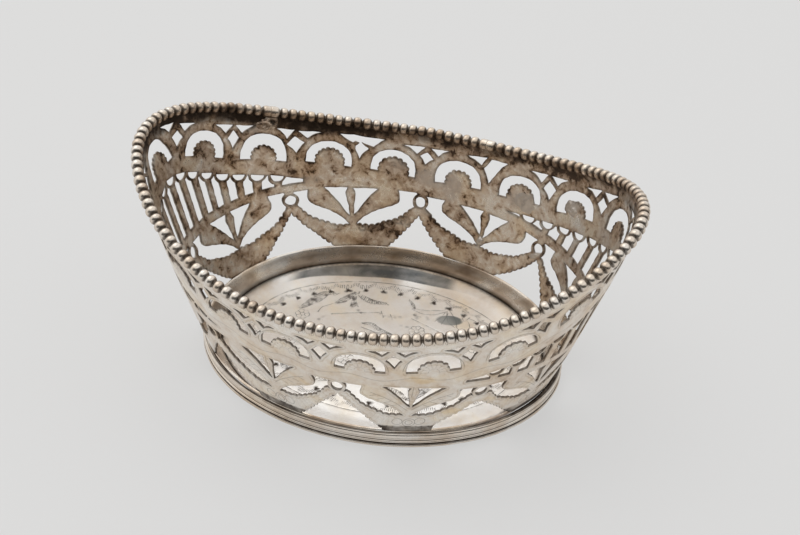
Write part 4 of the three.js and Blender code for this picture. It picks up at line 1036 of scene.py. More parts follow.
# painted shadow: a dark strip along the foot of the outside wall on the near side
foot_shadow_top = 3.3 + 0.7 * soft(np.mod(s_, 360), 216.0, 228.0) * (1 - soft(np.mod(s_, 360), 290.0, 310.0))
foot_shadow = (1 - inner) * (1 - soft(h_, foot_shadow_top - 0.5, foot_shadow_top)) * soft(near_side(s_), 0.3, 0.8)
cavity = np.clip(cavity + 0.95 * foot_shadow * (0.8 + 0.3 * mid_), 0, 1)
for a, b, rs, rh in ((216.5, 9.5, 5.0, 2.4), (213.0, 7.0, 3.0, 2.0), (168.0, 17.0, 5.0, 2.5), (203.0, 26.0, 8.0, 2.0), (226.0, 12.0, 4.0, 3.0)):
    warm = np.maximum(warm, (1 - inner) * 1.35 * blob(s_, h_, a, b, rs, rh, 0.5) * (0.75 + 0.5 * mid_))
s360 = np.mod(s_, 360)
# painted shade: a dark line low on the outside wall, in the gap above the moulding
gap_shade_h = 0.5 + 2.1 * np.sin(PI * np.clip((s360 - 239.0) / 25.0, 0, 1)) ** 0.7 + 0.9 * soft(s360, 254.0, 262.0) * (1 - soft(s360, 280.0, 292.0))
cavity = np.maximum(cavity, 0.97 * (1 - inner) * soft(s360, 238.0, 241.0) * (1 - soft(s360, 284.0, 294.0)) * (1 - soft(h_, gap_shade_h - 0.25, gap_shade_h + 0.15)))
# painted shadow: the cut faces on the near side are darkened further
cavity = np.where(np.abs(side_) < 0.9, np.maximum(cavity, 0.72 * soft(near_side(s_), 0.2, 0.7)), cavity)
wall_obj = make_object("pierced_wall_fine", V, FACES, {"tarn": np.clip(tarn, 0, 1), "cav": cavity, "solder": solder, "warm": warm, "inner": inner, "edge": np.clip(edge_, 0, 4)}, N)
print("wall", len(V), "vertices", sum(len(f) * (f.shape[1] - 2) for f in FACES), "triangles")


# ------------------------------------------------------------------ beaded rim
_rs = -90 + np.linspace(0, ROUND, 7201)
_rp = rim(theta_of(_rs))
R_TAB = np.concatenate([[0], np.cumsum(np.linalg.norm(np.diff(_rp, axis=0), axis=1))])


def rim_len(s):
    return np.interp(s, _rs, R_TAB)


def rim_theta(d):
    total = R_TAB[-1]
    turns = np.floor(d / total)
    return theta_of(np.interp(d - turns * total, R_TAB, _rs))


def rim_frame(th):
    c = rim(th)
    along = unit(rim(th + 1e-3) - c)
    out = np.stack([np.cos(th) / RIM_A, np.sin(th) / RIM_B, 0 * th], -1)
    out = unit(out - along * (out * along).sum(-1, keepdims=True))
    return c, along, out, np.cross(out, along)


def bead_wire(name, s_from, s_to, seed):
    r = np.random.default_rng(seed)
    a, b = float(rim_len(s_from)), float(rim_len(s_to))
    if b <= a:
        b += R_TAB[-1]
    a, b = a + 0.02, b - 0.02
    n = int(round((b - a) / 2.99))
    sizes = 1 + r.normal(0, 0.035, n)
    sizes *= (b - a) / sizes.sum() / ((b - a) / n)
    bounds_ = a + np.concatenate([[0], np.cumsum(sizes)]) * (b - a) / n
    per, around = 14, 22
    rows, cav, fat = [], [], []
    for i in range(n):
        lo, hi = bounds_[i], bounds_[i + 1]
        x = np.linspace(-1, 1, per + 1)
        x = np.sign(x) * np.abs(x) ** 0.9
        if i < n - 1:
            x = x[:-1]
        y = x.copy()
        if i == n - 1:
            y = np.where(x > 0, x * 0.35, x)  # the bead beside a joint runs into its neighbour
        if i == 0:
            y = np.where(x < 0, x * 0.35, x)
        rr = 0.42 + 0.58 * np.clip(1 - (np.abs(y) / 0.90) ** 2, 0, 1) ** 0.5
        k = 1 + r.normal(0, 0.018)
        rows.append(lo + (x + 1) / 2 * (hi - lo))
        fat.append(rr * k)
        # painted shade: the gaps between neighbouring beads are darkened
        cav.append(0.80 * soft(np.abs(y), 0.46, 0.78))
    d = np.concatenate(rows)
    fat, cav = np.concatenate(fat), np.concatenate(cav)
    th = rim_theta(d)
    c, along, out, upv = rim_frame(th)
    ang = np.linspace(0, 2 * PI, around, endpoint=False)
    # the bead is a touch flat where it sits on the sheet
    shape = 1 - 0.05 * np.exp(-((ang - 1.5 * PI) / 0.6) ** 2)
    R = BEAD_R * fat[:, None] * shape[None, :]
    v = c[:, None] + out[:, None] * (R * np.cos(ang))[..., None] + upv[:, None] * (R * np.sin(ang) - BEAD_DROP)[..., None]
    rows_n = len(d)
    f = grid_faces(rows_n, around)
    V = v.reshape(-1, 3)
    V = np.vstack([V, c[0] - upv[0] * BEAD_DROP, c[-1] - upv[-1] * BEAD_DROP])
    k0, k1 = len(V) - 2, len(V) - 1
    i = np.arange(around)
    caps = np.vstack([np.stack([np.full(around, k0), (i + 1) % around, i], 1),
                      np.stack([np.full(around, k1), (rows_n - 1) * around + i, (rows_n - 1) * around + (i + 1) % around], 1)])
    fn = face_normals(V, f[:, :3]).sum(0)
    cen = v.mean(1)
    test = (face_normals(V, f[:, :3]) * (V[f].mean(1) - np.repeat(cen, around, 0)[f[:, 0]])).sum()
    if test < 0:
        f, caps = f[:, ::-1], caps[:, ::-1]
    cavv = np.repeat(cav, around)
    # the beads are darker on their undersides and their inward sides: partly tarnish, partly painted shade
    down = np.tile(np.clip(-np.sin(ang) * 0.5 + 0.1, 0, 1), rows_n)
    inward = np.tile(np.clip(-np.cos(ang), 0, 1), rows_n)
    X = V[:-2]
    tarn = 0.22 + 0.60 * down + 0.42 * inward + 0.24 * waves(X[:, 0], X[:, 1], X[:, 2], 44, 12.0, 3)
    add = lambda q, e: np.concatenate([q, [e, e]])
    return make_object(name, V, [f, caps], {"tarn": add(np.clip(tarn, 0, 1), 0.5), "cav": add(cavv, 0.8),
                                           "solder": np.zeros(len(V)), "warm": add(0.4 + 0.3 * waves(X[:, 0], X[:, 1], X[:, 2], 45, 20.0, 2), 0.4), "inner": np.zeros(len(V))})


beads_long = bead_wire("bead_wire_long", BEAD_JOINTS[1], BEAD_JOINTS[0], 4)
beads_short = bead_wire("bead_wire_short", BEAD_JOINTS[0], BEAD_JOINTS[1], 9)

# ------------------------------------------------------------------ foot moulding, foot band
def bump(z, a, b, lift):
    u = np.clip((z - a) / (b - a), 0, 1)
    return lift * np.sqrt(np.clip(1 - (2 * u - 1) ** 2, 0, 1)) * ((z >= a) & (z <= b))


def moulding():
    z = np.concatenate([np.linspace(0, 0.82, 9), np.linspace(0.9, 1.2, 4), np.linspace(1.28, 2.0, 9), np.linspace(2.08, 2.32, 3),
                        np.linspace(2.4, 2.95, 4), np.linspace(3.02, 4.66, 15), np.linspace(4.74, 5.05, 4)])
    off = np.full(len(z), -0.52)
    off = np.where(z <= 0.82, -0.34 + bump(z, -0.25, 0.85, 0.36), off)
    off = np.where((z > 1.2) & (z < 2.04), -0.50 + bump(z, 1.24, 2.02, 0.36), off)
    off = np.where((z >= 2.04) & (z < 2.36), -0.50, off)
    off = np.where((z >= 2.36) & (z < 3.0), -0.36, off)
    off = np.where((z >= 3.0) & (z <= 4.7), -0.42 + bump(z, 2.98, 4.70, 0.52), off)
    off = np.where(z > 4.7, -0.42, off)
    # painted shade: dark in the grooves between the reeds and on the top under the wall
    cav = np.where((z > 0.8) & (z < 1.25), 1.0, 0.0) + np.where((z >= 2.03) & (z < 2.38), 0.7, 0) + np.where(z > 4.72, 0.55, 0) + np.where((z > 2.9) & (z < 3.08), 0.6, 0)
    zi = np.array([5.05, 4.2, 3.4, 2.4, 1.2, 0.0])
    n = 600
    th = theta_of(np.linspace(0, ROUND, n, endpoint=False))
    edge = np.stack([FOOT_OUT_A * np.cos(th), FOOT_OUT_B * np.sin(th), 0 * th], -1)
    nn = unit(np.stack([np.cos(th) / FOOT_OUT_A, np.sin(th) / FOOT_OUT_B, 0 * th], -1))
    wob = 0.05 * waves(edge[:, 0], edge[:, 1], 0 * th, 61, 30.0, 2)
    cols = []
    for zz, oo in zip(z, off):
        p = edge + nn * (oo + wob)[:, None]
        p[:, 2] = zz + (0.03 * waves(edge[:, 0], edge[:, 1], 0 * th, 62, 40.0, 2) if zz > 0.3 else 0)
        cols.append(p)
    for zz in zi:
        v = max(0.0, (zz - FOOT_LOW_Z) / (FOOT_TOP_Z - FOOT_LOW_Z))
        face = band(th, v + 0.06, SHEET / 2 + 0.12)
        inward = np.maximum(((face - edge) * nn).sum(1) + 0.1, -1.9)
        p = edge + nn * np.minimum(inward, -0.65)[:, None]
        p[:, 2] = zz
        cols.append(p)
    V = np.stack(cols, 0)
    rows = len(cols)
    f = grid_faces(rows, n, wrap_cols=True, wrap_rows=True)
    V2 = V.reshape(-1, 3)
    test = (face_normals(V2, f[:, :3])[:n * 5] * np.tile(nn, (5, 1))).sum()
    if test < 0:
        f = f[:, ::-1]
    # painted shade: the inner face against the band is darkened too
    cavv = np.repeat(np.concatenate([cav, np.full(len(zi), 0.4)]), n)
    X = V2
    tarn = 0.20 + 0.20 * waves(X[:, 0], X[:, 1], X[:, 2], 63, 14.0, 3)
    ms = np.tile(np.linspace(0, ROUND, n, endpoint=False), rows)
    # painted shade: the top of the moulding is darkened in the gap under the wall over two stretches
    cavv = cavv + (X[:, 2] > 4.55) * (0.6 * soft(ms, 237.0, 243.0) * (1 - soft(ms, 268.0, 284.0)) + 0.4 * soft(ms, 112.0, 125.0) * (1 - soft(ms, 160.0, 168.0)))
    ob = make_object("foot_moulding_fine", V2, f, {"tarn": np.clip(tarn, 0, 1), "cav": np.clip(cavv, 0, 1), "solder": np.zeros(len(X)),
                                                  "warm": np.clip(0.4 + 0.4 * waves(X[:, 0], X[:, 1], X[:, 2], 64, 25.0, 2), 0, 1), "inner": np.zeros(len(X))})
    return ob


def foot_strip():
    half = SHEET / 2
    top = 1.0 + 0.10 / 5.8
    prof = [(0.0, half), (0.15, half), (0.3, half), (0.45, half), (0.6, half), (0.75, half), (0.9, half), (top - 0.03, half), (top, half - 0.14),
            (top, 0.0), (top, -half + 0.14), (top - 0.03, -half), (0.9, -half), (0.75, -half), (0.6, -half), (0.45, -half), (0.3, -half), (0.15, -half), (0.0, -half), (0.0, 0.0)]
    n = 480
    th = theta_of(np.linspace(0, ROUND, n, endpoint=False))
    cols = []
    for v, t in prof:
        p0 = foot_top(th)
        wob = 0.06 * waves(p0[:, 0], p0[:, 1], np.full(n, v * 8.0), 71, 16.0, 2)
        cols.append(band(th, v, t + wob * (1 if 0.05 < v < 0.95 else 0.3)))
    V2 = np.stack(cols, 0).reshape(-1, 3)
    f = grid_faces(len(prof), n, wrap_cols=True, wrap_rows=True)
    test = (face_normals(V2, f[:, :3])[:n * 5] * np.tile(foot_normal(th), (5, 1))).sum()
    if test < 0:
        f = f[:, ::-1]
    vv = np.repeat([p[0] for p in prof], n)
    tt = np.repeat([p[1] for p in prof], n)
    X = V2
    tarn = 0.37 + 0.34 * waves(X[:, 0], X[:, 1], X[:, 2] * 3, 72, 16.0, 3)
    cav = 0.9 * (1 - soft(vv, 0.1, 0.22)) * (tt < 0) + 0.25 * (1 - soft(np.abs(vv - 0.80), 0.02, 0.06)) * (tt < 0)
    ss = np.tile(np.linspace(0, ROUND, n, endpoint=False), len(prof))
    sb = (ss + 180) % 360 - 180
    tarn = tarn - 0.16 * soft(sb, 40.0, 58.0) * (1 - soft(sb, 95.0, 115.0)) - 0.10 * soft(-sb, 30.0, 50.0) * (1 - soft(-sb, 85.0, 105.0))
    # painted dark reflection: dark streaks on the inside of the band, strongest along the far side
    run = soft(sb, -75.0, -35.0) * (1 - soft(sb, 40.0, 78.0))
    streaks = np.clip(0.5 + 0.8 * waves(ss * 0.16, vv * 30.0, 0 * ss, 74, 7.0, 4), 0, 1)
    shade = (tt < 0) * run * (0.06 + 0.46 * soft(vv, 0.40, 0.58) * (1 - soft(vv, 0.78, 0.92))) * (0.25 + 1.15 * streaks)
    shade = shade + (tt < 0) * 0.30 * (1 - run) * soft(vv, 0.4, 0.6) * (1 - soft(vv, 0.85, 0.93)) * streaks
    return make_object("foot_band_fine", V2, f, {"shade": np.clip(shade, 0, 1), "tarn": np.clip(tarn, 0, 1), "cav": np.clip(cav, 0, 1), "solder": np.zeros(len(X)),
                                                "warm": np.clip(0.45 + 0.4 * waves(X[:, 0], X[:, 1], X[:, 2], 73, 22.0, 2), 0, 1), "inner": (tt < 0).astype(float)})


mould_obj = moulding()
band_obj = foot_strip()

# ------------------------------------------------------------------ engraved base plate
PLATE_Z, PLATE_T, PLATE_RISE = 0.2, 0.7, 0.6
base_strokes = []


def cut_line(points, width=0.16, depth=0.10, spacing=0.3):
    p = np.asarray(points, float)
    d = np.concatenate([[0], np.cumsum(np.linalg.norm(np.diff(p, axis=0), axis=1))])
    if d[-1] < 1e-6:
        return
    n = max(2, int(d[-1] / spacing) + 1)
    at = np.linspace(0, d[-1], n)
    base_strokes.append((np.stack([np.interp(at, d, p[:, 0]), np.interp(at, d, p[:, 1])], 1), width, depth))


def spline(points, n=24):
    p = curve([tuple(points[0])] + [(*q, 1) for q in points[1:-1]] + [tuple(points[-1])], step=0.3, flat=0.3)
    end = np.argmin(np.linalg.norm(p - np.array(points[-1]), axis=1))
    return p[:end + 1] if end > 1 else np.array(points)


BORDER_A, BORDER_B, BORDER_DY = 43.0, 31.6, -0.6
phi = np.linspace(0, 2 * PI, 721)


def oval(off, ph):
    """A point on the border oval, moved inward by off."""
    ph = np.asarray(ph, float)
    return np.stack([(BORDER_A - off) * np.cos(ph), (BORDER_B - off) * np.sin(ph) + BORDER_DY], -1)


cut_line(oval(0, phi), 0.17, 0.12, 0.28)
arc = np.concatenate([[0], np.cumsum(np.linalg.norm(np.diff(oval(0, phi), axis=0), axis=1))])
N_SWAG = 37
punches = []
for k in range(N_SWAG):
    a0, a1 = arc[-1] * k / N_SWAG, arc[-1] * (k + 1) / N_SWAG
    u = np.linspace(0, 1, 22)
    ph = np.interp(a0 + (a1 - a0) * u, arc, phi)
    x = 2 * u - 1
    dep = 0.55 + 1.7 * (1 - np.abs(x) ** 2.2)
    for uu in np.linspace(0.05, 0.95, 10):
        p_ = np.interp(a0 + (a1 - a0) * uu, arc, phi)
        d_ = 0.55 + 1.7 * (1 - abs(2 * uu - 1) ** 2.2)
        cut_line([oval(d_ + 0.1, p_), oval(d_ + 1.1, p_ + 0.004)], 0.125, 0.09, 0.2)
    p_ = np.interp(a0 + (a1 - a0) * 0.5, arc, phi)
    punches.append((oval(4.6, p_), p_))
areas = []  # broad shaded areas: (centre line, half widths)


def leaf(points, widths, tone=0.5, hatch=True):
    p = spline(points)
    w = np.interp(np.linspace(0, 1, len(p)), np.linspace(0, 1, len(widths)), widths)
    t = unit(np.gradient(p, axis=0))
    nrm = np.stack([-t[:, 1], t[:, 0]], 1)
    areas.append((p, w, tone))
    cut_line(p + nrm * w[:, None], 0.12, 0.07)
    cut_line(p - nrm * w[:, None], 0.12, 0.07)
    k = max(2, int(np.linalg.norm(np.diff(p, axis=0), axis=1).sum() / 0.46)) if hatch else 0
    for i in np.linspace(0, len(p) - 1, k).astype(int):
        lean = t[i] * 0.6
        cut_line([p[i] - nrm[i] * w[i] * 0.9 + lean * 0.5, p[i] + nrm[i] * w[i] * 0.9 - lean * 0.5], 0.13, 0.07, 0.25)


def rosette(cx, cy, r, petals=6):
    a = np.linspace(0, 2 * PI, 61)
    rr = r * (0.86 + 0.14 * np.abs(np.cos(petals * a / 2)))
    cut_line(np.stack([cx + rr * np.cos(a), cy + rr * np.sin(a)], 1), 0.13, 0.08)
    cut_line(np.stack([cx + 0.3 * r * np.cos(a), cy + 0.3 * r * np.sin(a)], 1), 0.12, 0.07)
    for k in range(petals):
        q = (k + 0.5) * 2 * PI / petals
        cut_line([(cx + 0.34 * r * math.cos(q), cy + 0.34 * r * math.sin(q)), (cx + 0.82 * r * math.cos(q), cy + 0.82 * r * math.sin(q))], 0.11, 0.06)


def motif(flip_x=1.0, flip_y=1.0):
    m = lambda pts: [(x * flip_x, y * flip_y) for x, y in pts]
    worn = flip_x < 0 < flip_y  # this corner is rubbed nearly smooth
    tone, hatch = (0.10, False) if worn else (0.55, True)
    # bow
    leaf(m([(-15.6, 22.6), (-16.8, 20.0), (-18.2, 17.6), (-19.6, 15.8)]), [0.5, 1.1, 1.3, 0.5], tone, hatch)
    leaf(m([(-14.4, 22.4), (-11.2, 20.5), (-8.0, 19.8), (-4.4, 20.3)]), [0.5, 1.1, 1.0, 0.3], tone, hatch)
    leaf(m([(-15.2, 21.6), (-14.8, 18.8), (-13.9, 16.0)]), [0.5, 0.7, 1.2], tone, hatch)
    # garland to the rosette
    leaf(m([(-22.2, 20.8), (-24.6, 19.0), (-26.2, 16.0), (-28.0, 12.8), (-29.8, 9.6)]), [0.5, 1.5, 1.7, 1.2, 0.4], tone, hatch)
    cx, cy = m([(-28.2, 7.0)])[0]
    rosette(cx, cy, 2.3)
    for pts in ([(-23.8, 10.2), (-23.4, 12.2), (-21.6, 14.1), (-19.8, 15.8)], [(-19.0, 10.0), (-15.4, 11.6), (-11.4, 13.2), (-5.5, 15.3)],
                [(-22.6, 21.3), (-21.6, 19.3), (-20.6, 20.6)]):
        cut_line(spline(m(pts)), 0.13, 0.08)


motif(1, 1)
motif(-1, 1)
motif(1, -1)
motif(-1, -1)
leaf([(-8.8, 8.4), (-5.8, 8.6), (-2.6, 7.0), (1.6, 5.8)], [0.3, 0.8, 0.6, 0.2])
leaf([(2.1, 24.2), (3.7, 22.6), (5.0, 20.6)], [0.2, 0.5, 0.2])
rosette(8.6, 9.8, 2.6, 8)
rosette(-8.6, -9.8, 2.6, 8)
for rr in (0.55, 0.62):
    a = np.linspace(0, 2 * PI, 200)
    cut_line(np.stack([13.5 * rr * np.cos(a) * 1.25, 9.0 * rr * np.sin(a)], 1), 0.12, 0.06)
for pts, w in (([(-6.4, 15.0), (-2.2, 14.2), (1.9, 15.2)], 0.8), ([(4.6, 19.4), (6.5, 16.8), (8.0, 14.6)], 0.7), ([(9.0, 18.2), (11.7, 15.8)], 0.5), ([(-20.3, 8.8), (-22.2, 6.9), (-22.3, 4.6)], 0.5),
               ([(2.0, 11.4), (4.0, 10.8), (6.0, 10.9)], 0.5), ([(-13.2, 14.8), (-11.0, 13.4), (-8.8, 13.6)], 0.5)):
    p = spline(pts)
    areas.append((p, w * np.sin(np.linspace(0.15, PI - 0.15, len(p))), 0.55))
for pts in ([(-8.4, 6.3), (-3.8, 5.3), (2.6, 3.4)], [(-4.8, 15.9), (-3.4, 13.4)], [(-1.6, 15.2), (-0.6, 13.6)], [(5.0, 17.4), (7.4, 17.0)]):
    cut_line(spline(pts) if len(pts) > 2 else pts, 0.15, 0.08)
for (x0, y0), (x1, y1) in (((-6.1, 28.5), (-1.3, 25.6)),):
    cut_line(spline([(x0, y0), ((x0 + x1) / 2, (y0 + y1) / 2 + 0.8), (x1, y1)]), 0.13, 0.08)

bp = np.vstack([p for p, _, _ in base_strokes])
bw = np.concatenate([np.full(len(p), w) for p, w, _ in base_strokes])
bd = np.concatenate([np.full(len(p), d) for p, _, d in base_strokes])


def band_reach(x):
    """How far out the dark reflection on the far border of the plate begins."""
    return 0.822 + 0.085 * soft(np.abs(x + 6.0), 8.0, 34.0)


def base_plate():
    n_edge = 300
    th = theta_of(np.linspace(0, ROUND, n_edge, endpoint=False))
    v = (PLATE_Z + PLATE_RISE + PLATE_T * 0.5 - FOOT_LOW_Z) / (FOOT_TOP_Z - FOOT_LOW_Z)
    edge = band(th, max(v, 0.0), -SHEET / 2 - 0.1)[:, :2]
    step = 0.95
    xs, ys = np.arange(-51, 51, step), np.arange(-42, 42, step * 0.87)
    g = np.array([(x + (step / 2 if j % 2 else 0), y) for j, y in enumerate(ys) for x in xs])
    g += np.random.default_rng(8).uniform(-0.12, 0.12, g.shape)
    sides = []
    for p, w, _ in base_strokes:
        t = unit(np.gradient(p, axis=0))
        nrm = np.stack([-t[:, 1], t[:, 0]], 1)
        sides += [p, p + nrm * w * 1.15, p - nrm * w * 1.15]
    pun = []
    for (c, p_) in punches:
        a = np.linspace(0, 2 * PI, 10, endpoint=False)
        pun.append(np.stack([c[0] + 0.55 * np.cos(a), c[1] + 0.55 * np.sin(a)], 1))
        pun.append(np.stack([c[0] + 0.28 * np.cos(a), c[1] + 0.28 * np.sin(a)], 1))
        pun.append(np.array([c]))
    sides = np.vstack(sides + pun)
    d, _ = nearest(bp, g)
    g = g[d > 0.45]
    # close rings of points along the edges of the painted dark reflection band and of the spot
    ring_a = np.linspace(0, 2 * PI, 620, endpoint=False)
    edge_a = np.arctan2(edge[:, 1] / FOOT_LOW_B, edge[:, 0] / FOOT_LOW_A)
    far_r = np.interp(ring_a, np.sort(np.mod(edge_a, 2 * PI)), np.hypot(edge[:, 0] / FOOT_LOW_A, edge[:, 1] / FOOT_LOW_B)[np.argsort(np.mod(edge_a, 2 * PI))], period=2 * PI)
    rings = []
    for qq in (None, 0.963, 0.987):
        for plus in ((-0.001, 0.013) if qq is None else (0.0,)):
            base_q = far_r * (qq or 0.9)
            rx_ = base_q * np.cos(ring_a) * FOOT_LOW_A
            q_at = (band_reach(rx_) + plus) if qq is None else np.full(len(ring_a), qq)
            rr_ = np.stack([q_at * far_r * np.cos(ring_a) * FOOT_LOW_A, q_at * far_r * np.sin(ring_a) * FOOT_LOW_B], 1)
            rings.append(rr_[rr_[:, 1] > 8])
    spot_a = np.linspace(0, 2 * PI, 48, endpoint=False)
    for f_ in (0.84, 1.03):
        rings.append(np.stack([17.0 + 4.3 * f_ * (np.cos(spot_a) + 0.18 * np.sin(spot_a)), 18.2 + 2.7 * f_ * np.sin(spot_a)], 1))
    pts = np.vstack([g, sides] + rings)
    ok = in_poly(pts, edge * 0.992)
    pts = pts[ok]
    # drop near doubles
    d, _ = nearest(edge, pts)
    pts = pts[d > 0.25]
    allp = np.vstack([edge, pts])
    edges = [(i, (i + 1) % n_edge) for i in range(n_edge)]
    vs, _, fs, ov, _, _ = delaunay_2d_cdt([Vector(p) for p in allp], edges, [], 0, 1e-4, True)
    P = np.array([[q.x, q.y] for q in vs])
    F = np.array([f for f in fs if len(f) == 3], int)
    F = F[in_poly(P[F].mean(1), edge)]
    rim_ids = np.full(n_edge, -1)
    for i, o in enumerate(ov):
        for oo in o:
            if oo < n_edge:
                rim_ids[oo] = i
    # height of the top face: flat, then rising towards the border
    ang = np.arctan2(P[:, 1] / FOOT_LOW_B, P[:, 0] / FOOT_LOW_A)
    edge_ang = np.arctan2(edge[:, 1] / FOOT_LOW_B, edge[:, 0] / FOOT_LOW_A)
    order = np.argsort(edge_ang)
    er = np.hypot(edge[:, 0] / FOOT_LOW_A, edge[:, 1] / FOOT_LOW_B)[order]
    q = np.hypot(P[:, 0] / FOOT_LOW_A, P[:, 1] / FOOT_LOW_B) / np.interp(ang, edge_ang[order], er, period=2 * PI)
    z = PLATE_Z + PLATE_T + PLATE_RISE * soft(q, 0.83, 1.0)
    z = z + 0.07 * waves(P[:, 0], P[:, 1], 0 * q, 81, 30.0, 2) * (1 - soft(q, 0.8, 0.95))
    d, ids = nearest(bp, P)
    groove = np.clip(1 - d / (bw[ids] * 1.2), 0, 1)
    z = z - 0.28 * bd[ids] * groove
    cav = np.minimum(1.0, groove * 1.8) * np.clip(0.85 + 0.9 * waves(P[:, 0], P[:, 1], 0 * q, 90, 4.0, 3), 0.30, 1.15)
    line_pts, line_w = np.vstack([p for p, _, _ in areas]), np.concatenate([w for _, w, _ in areas])
    area_k = np.concatenate([np.full(len(p), k) for p, _, k in areas])
    d2, i2 = nearest(line_pts, P)
    cav = np.maximum(cav, area_k[i2] * (1 - soft(d2 / np.maximum(line_w[i2], 0.1), 0.8, 1.05)) * np.clip(0.50 + 1.3 * waves(P[:, 0], P[:, 1], 0 * q, 89, 2.2, 3), 0, 1.5))
    for (c, p_) in punches:
        # a three-cornered punch
        dx, dy = P[:, 0] - c[0], P[:, 1] - c[1]
        rr, aa = np.hypot(dx, dy), np.arctan2(dy, dx) - p_
        lim = 0.42 / np.maximum(np.cos((np.mod(aa, 2 * PI / 3)) - PI / 3), 0.5) * 1.25
        hit = np.clip(1.25 - rr / lim, 0, 1)
        z = z - 0.09 * np.minimum(hit * 2, 1)
        cav = np.maximum(cav, np.minimum(hit * 3, 1))
    top = np.column_stack([P, z])
    fn = face_normals(top, F)
    F = np.where((fn[:, 2] < 0)[:, None], F[:, ::-1], F)
    # underside: a fan of two rings
    e3 = edge
    under_edge = np.column_stack([e3, np.full(n_edge, PLATE_Z + PLATE_RISE)])
    under_flat = np.column_stack([e3 * 0.83, np.full(n_edge, PLATE_Z)])
    under_mid = np.array([[0, 0, PLATE_Z]])
    V = np.vstack([top, under_edge, under_flat, under_mid])
    n0 = len(top)
    i = np.arange(n_edge)
    j = (i + 1) % n_edge
    q1 = np.stack([rim_ids[i], n0 + i, n0 + j, rim_ids[j]], 1)
    q2 = np.stack([n0 + i, n0 + n_edge + i, n0 + n_edge + j, n0 + j], 1)
    t3 = np.stack([n0 + n_edge + i, np.full(n_edge, n0 + 2 * n_edge), n0 + n_edge + j], 1)
    cen = V[q1].mean(1)
    if (face_normals(V, q1[:, :3])[:, :2] * cen[:, :2]).sum() < 0:
        q1 = q1[:, ::-1]
    if face_normals(V, q2[:, :3])[:, 2].sum() > 0:
        q2 = q2[:, ::-1]
    if face_normals(V, t3)[:, 2].sum() > 0:
        t3 = t3[:, ::-1]
    X = V
    tarn = 0.03 + 0.08 * waves(X[:, 0], X[:, 1], X[:, 2], 82, 18.0, 3)
    tarn[:n0] += 0.10 * soft(q, 0.9, 0.99)
    streak = 0.5 + 0.5 * waves(P[:, 0] * 0.25, q * 60.0, 0 * q, 87, 6.0, 2)
    # painted dark reflection on the far, rising border of the plate
    shade = np.zeros(len(V))
    reach = band_reach(P[:, 0] / np.maximum(q, 0.3) * 0.9)
    shade[:n0] = soft(q, reach, reach + 0.012) * (1 - soft(q, 0.965, 0.985)) * (P[:, 1] > 0) * soft(P[:, 0], -40.0, -33.0) * (1 - 0.86 * soft(P[:, 0], 11.0, 15.5)) * (1 - soft(P[:, 0], 20.0, 34.0)) * (0.80 + 0.24 * streak)
    shade[:n0] = np.maximum(shade[:n0], 0.35 * soft(q, 0.94, 0.985) * (P[:, 1] > 0) * streak)
    cav = np.concatenate([cav + 0.8 * soft(q, 0.975, 0.995), np.full(len(V) - n0, 0.2)])
    spot = np.zeros(len(V))
    dx, dy = (V[:, 0] - 17.0) / 4.3, (V[:, 1] - 18.2) / 2.7
    spot = (1 - soft(np.hypot(dx - 0.18 * dy, dy) + 0.06 * waves(X[:, 0], X[:, 1], X[:, 2], 86, 4.0, 2), 0.85, 1.02)) * (V[:, 2] > 0.6) * (0.66 + 0.34 * soft(0.8 * dx + 0.6 * dy, -0.7, 0.8))
    return make_object("base_plate_engraved", V, [F, t3, q1, q2], {
        "tarn": np.clip(tarn, 0, 1), "cav": np.clip(cav, 0, 1), "solder": np.zeros(len(V)), "spot": spot, "shade": np.clip(shade, 0, 1),
        "warm": np.clip(0.4 + 0.6 * waves(X[:, 0], X[:, 1], X[:, 2], 83, 12.0, 3), 0, 1), "inner": np.zeros(len(V))})


plate_obj = base_plate()

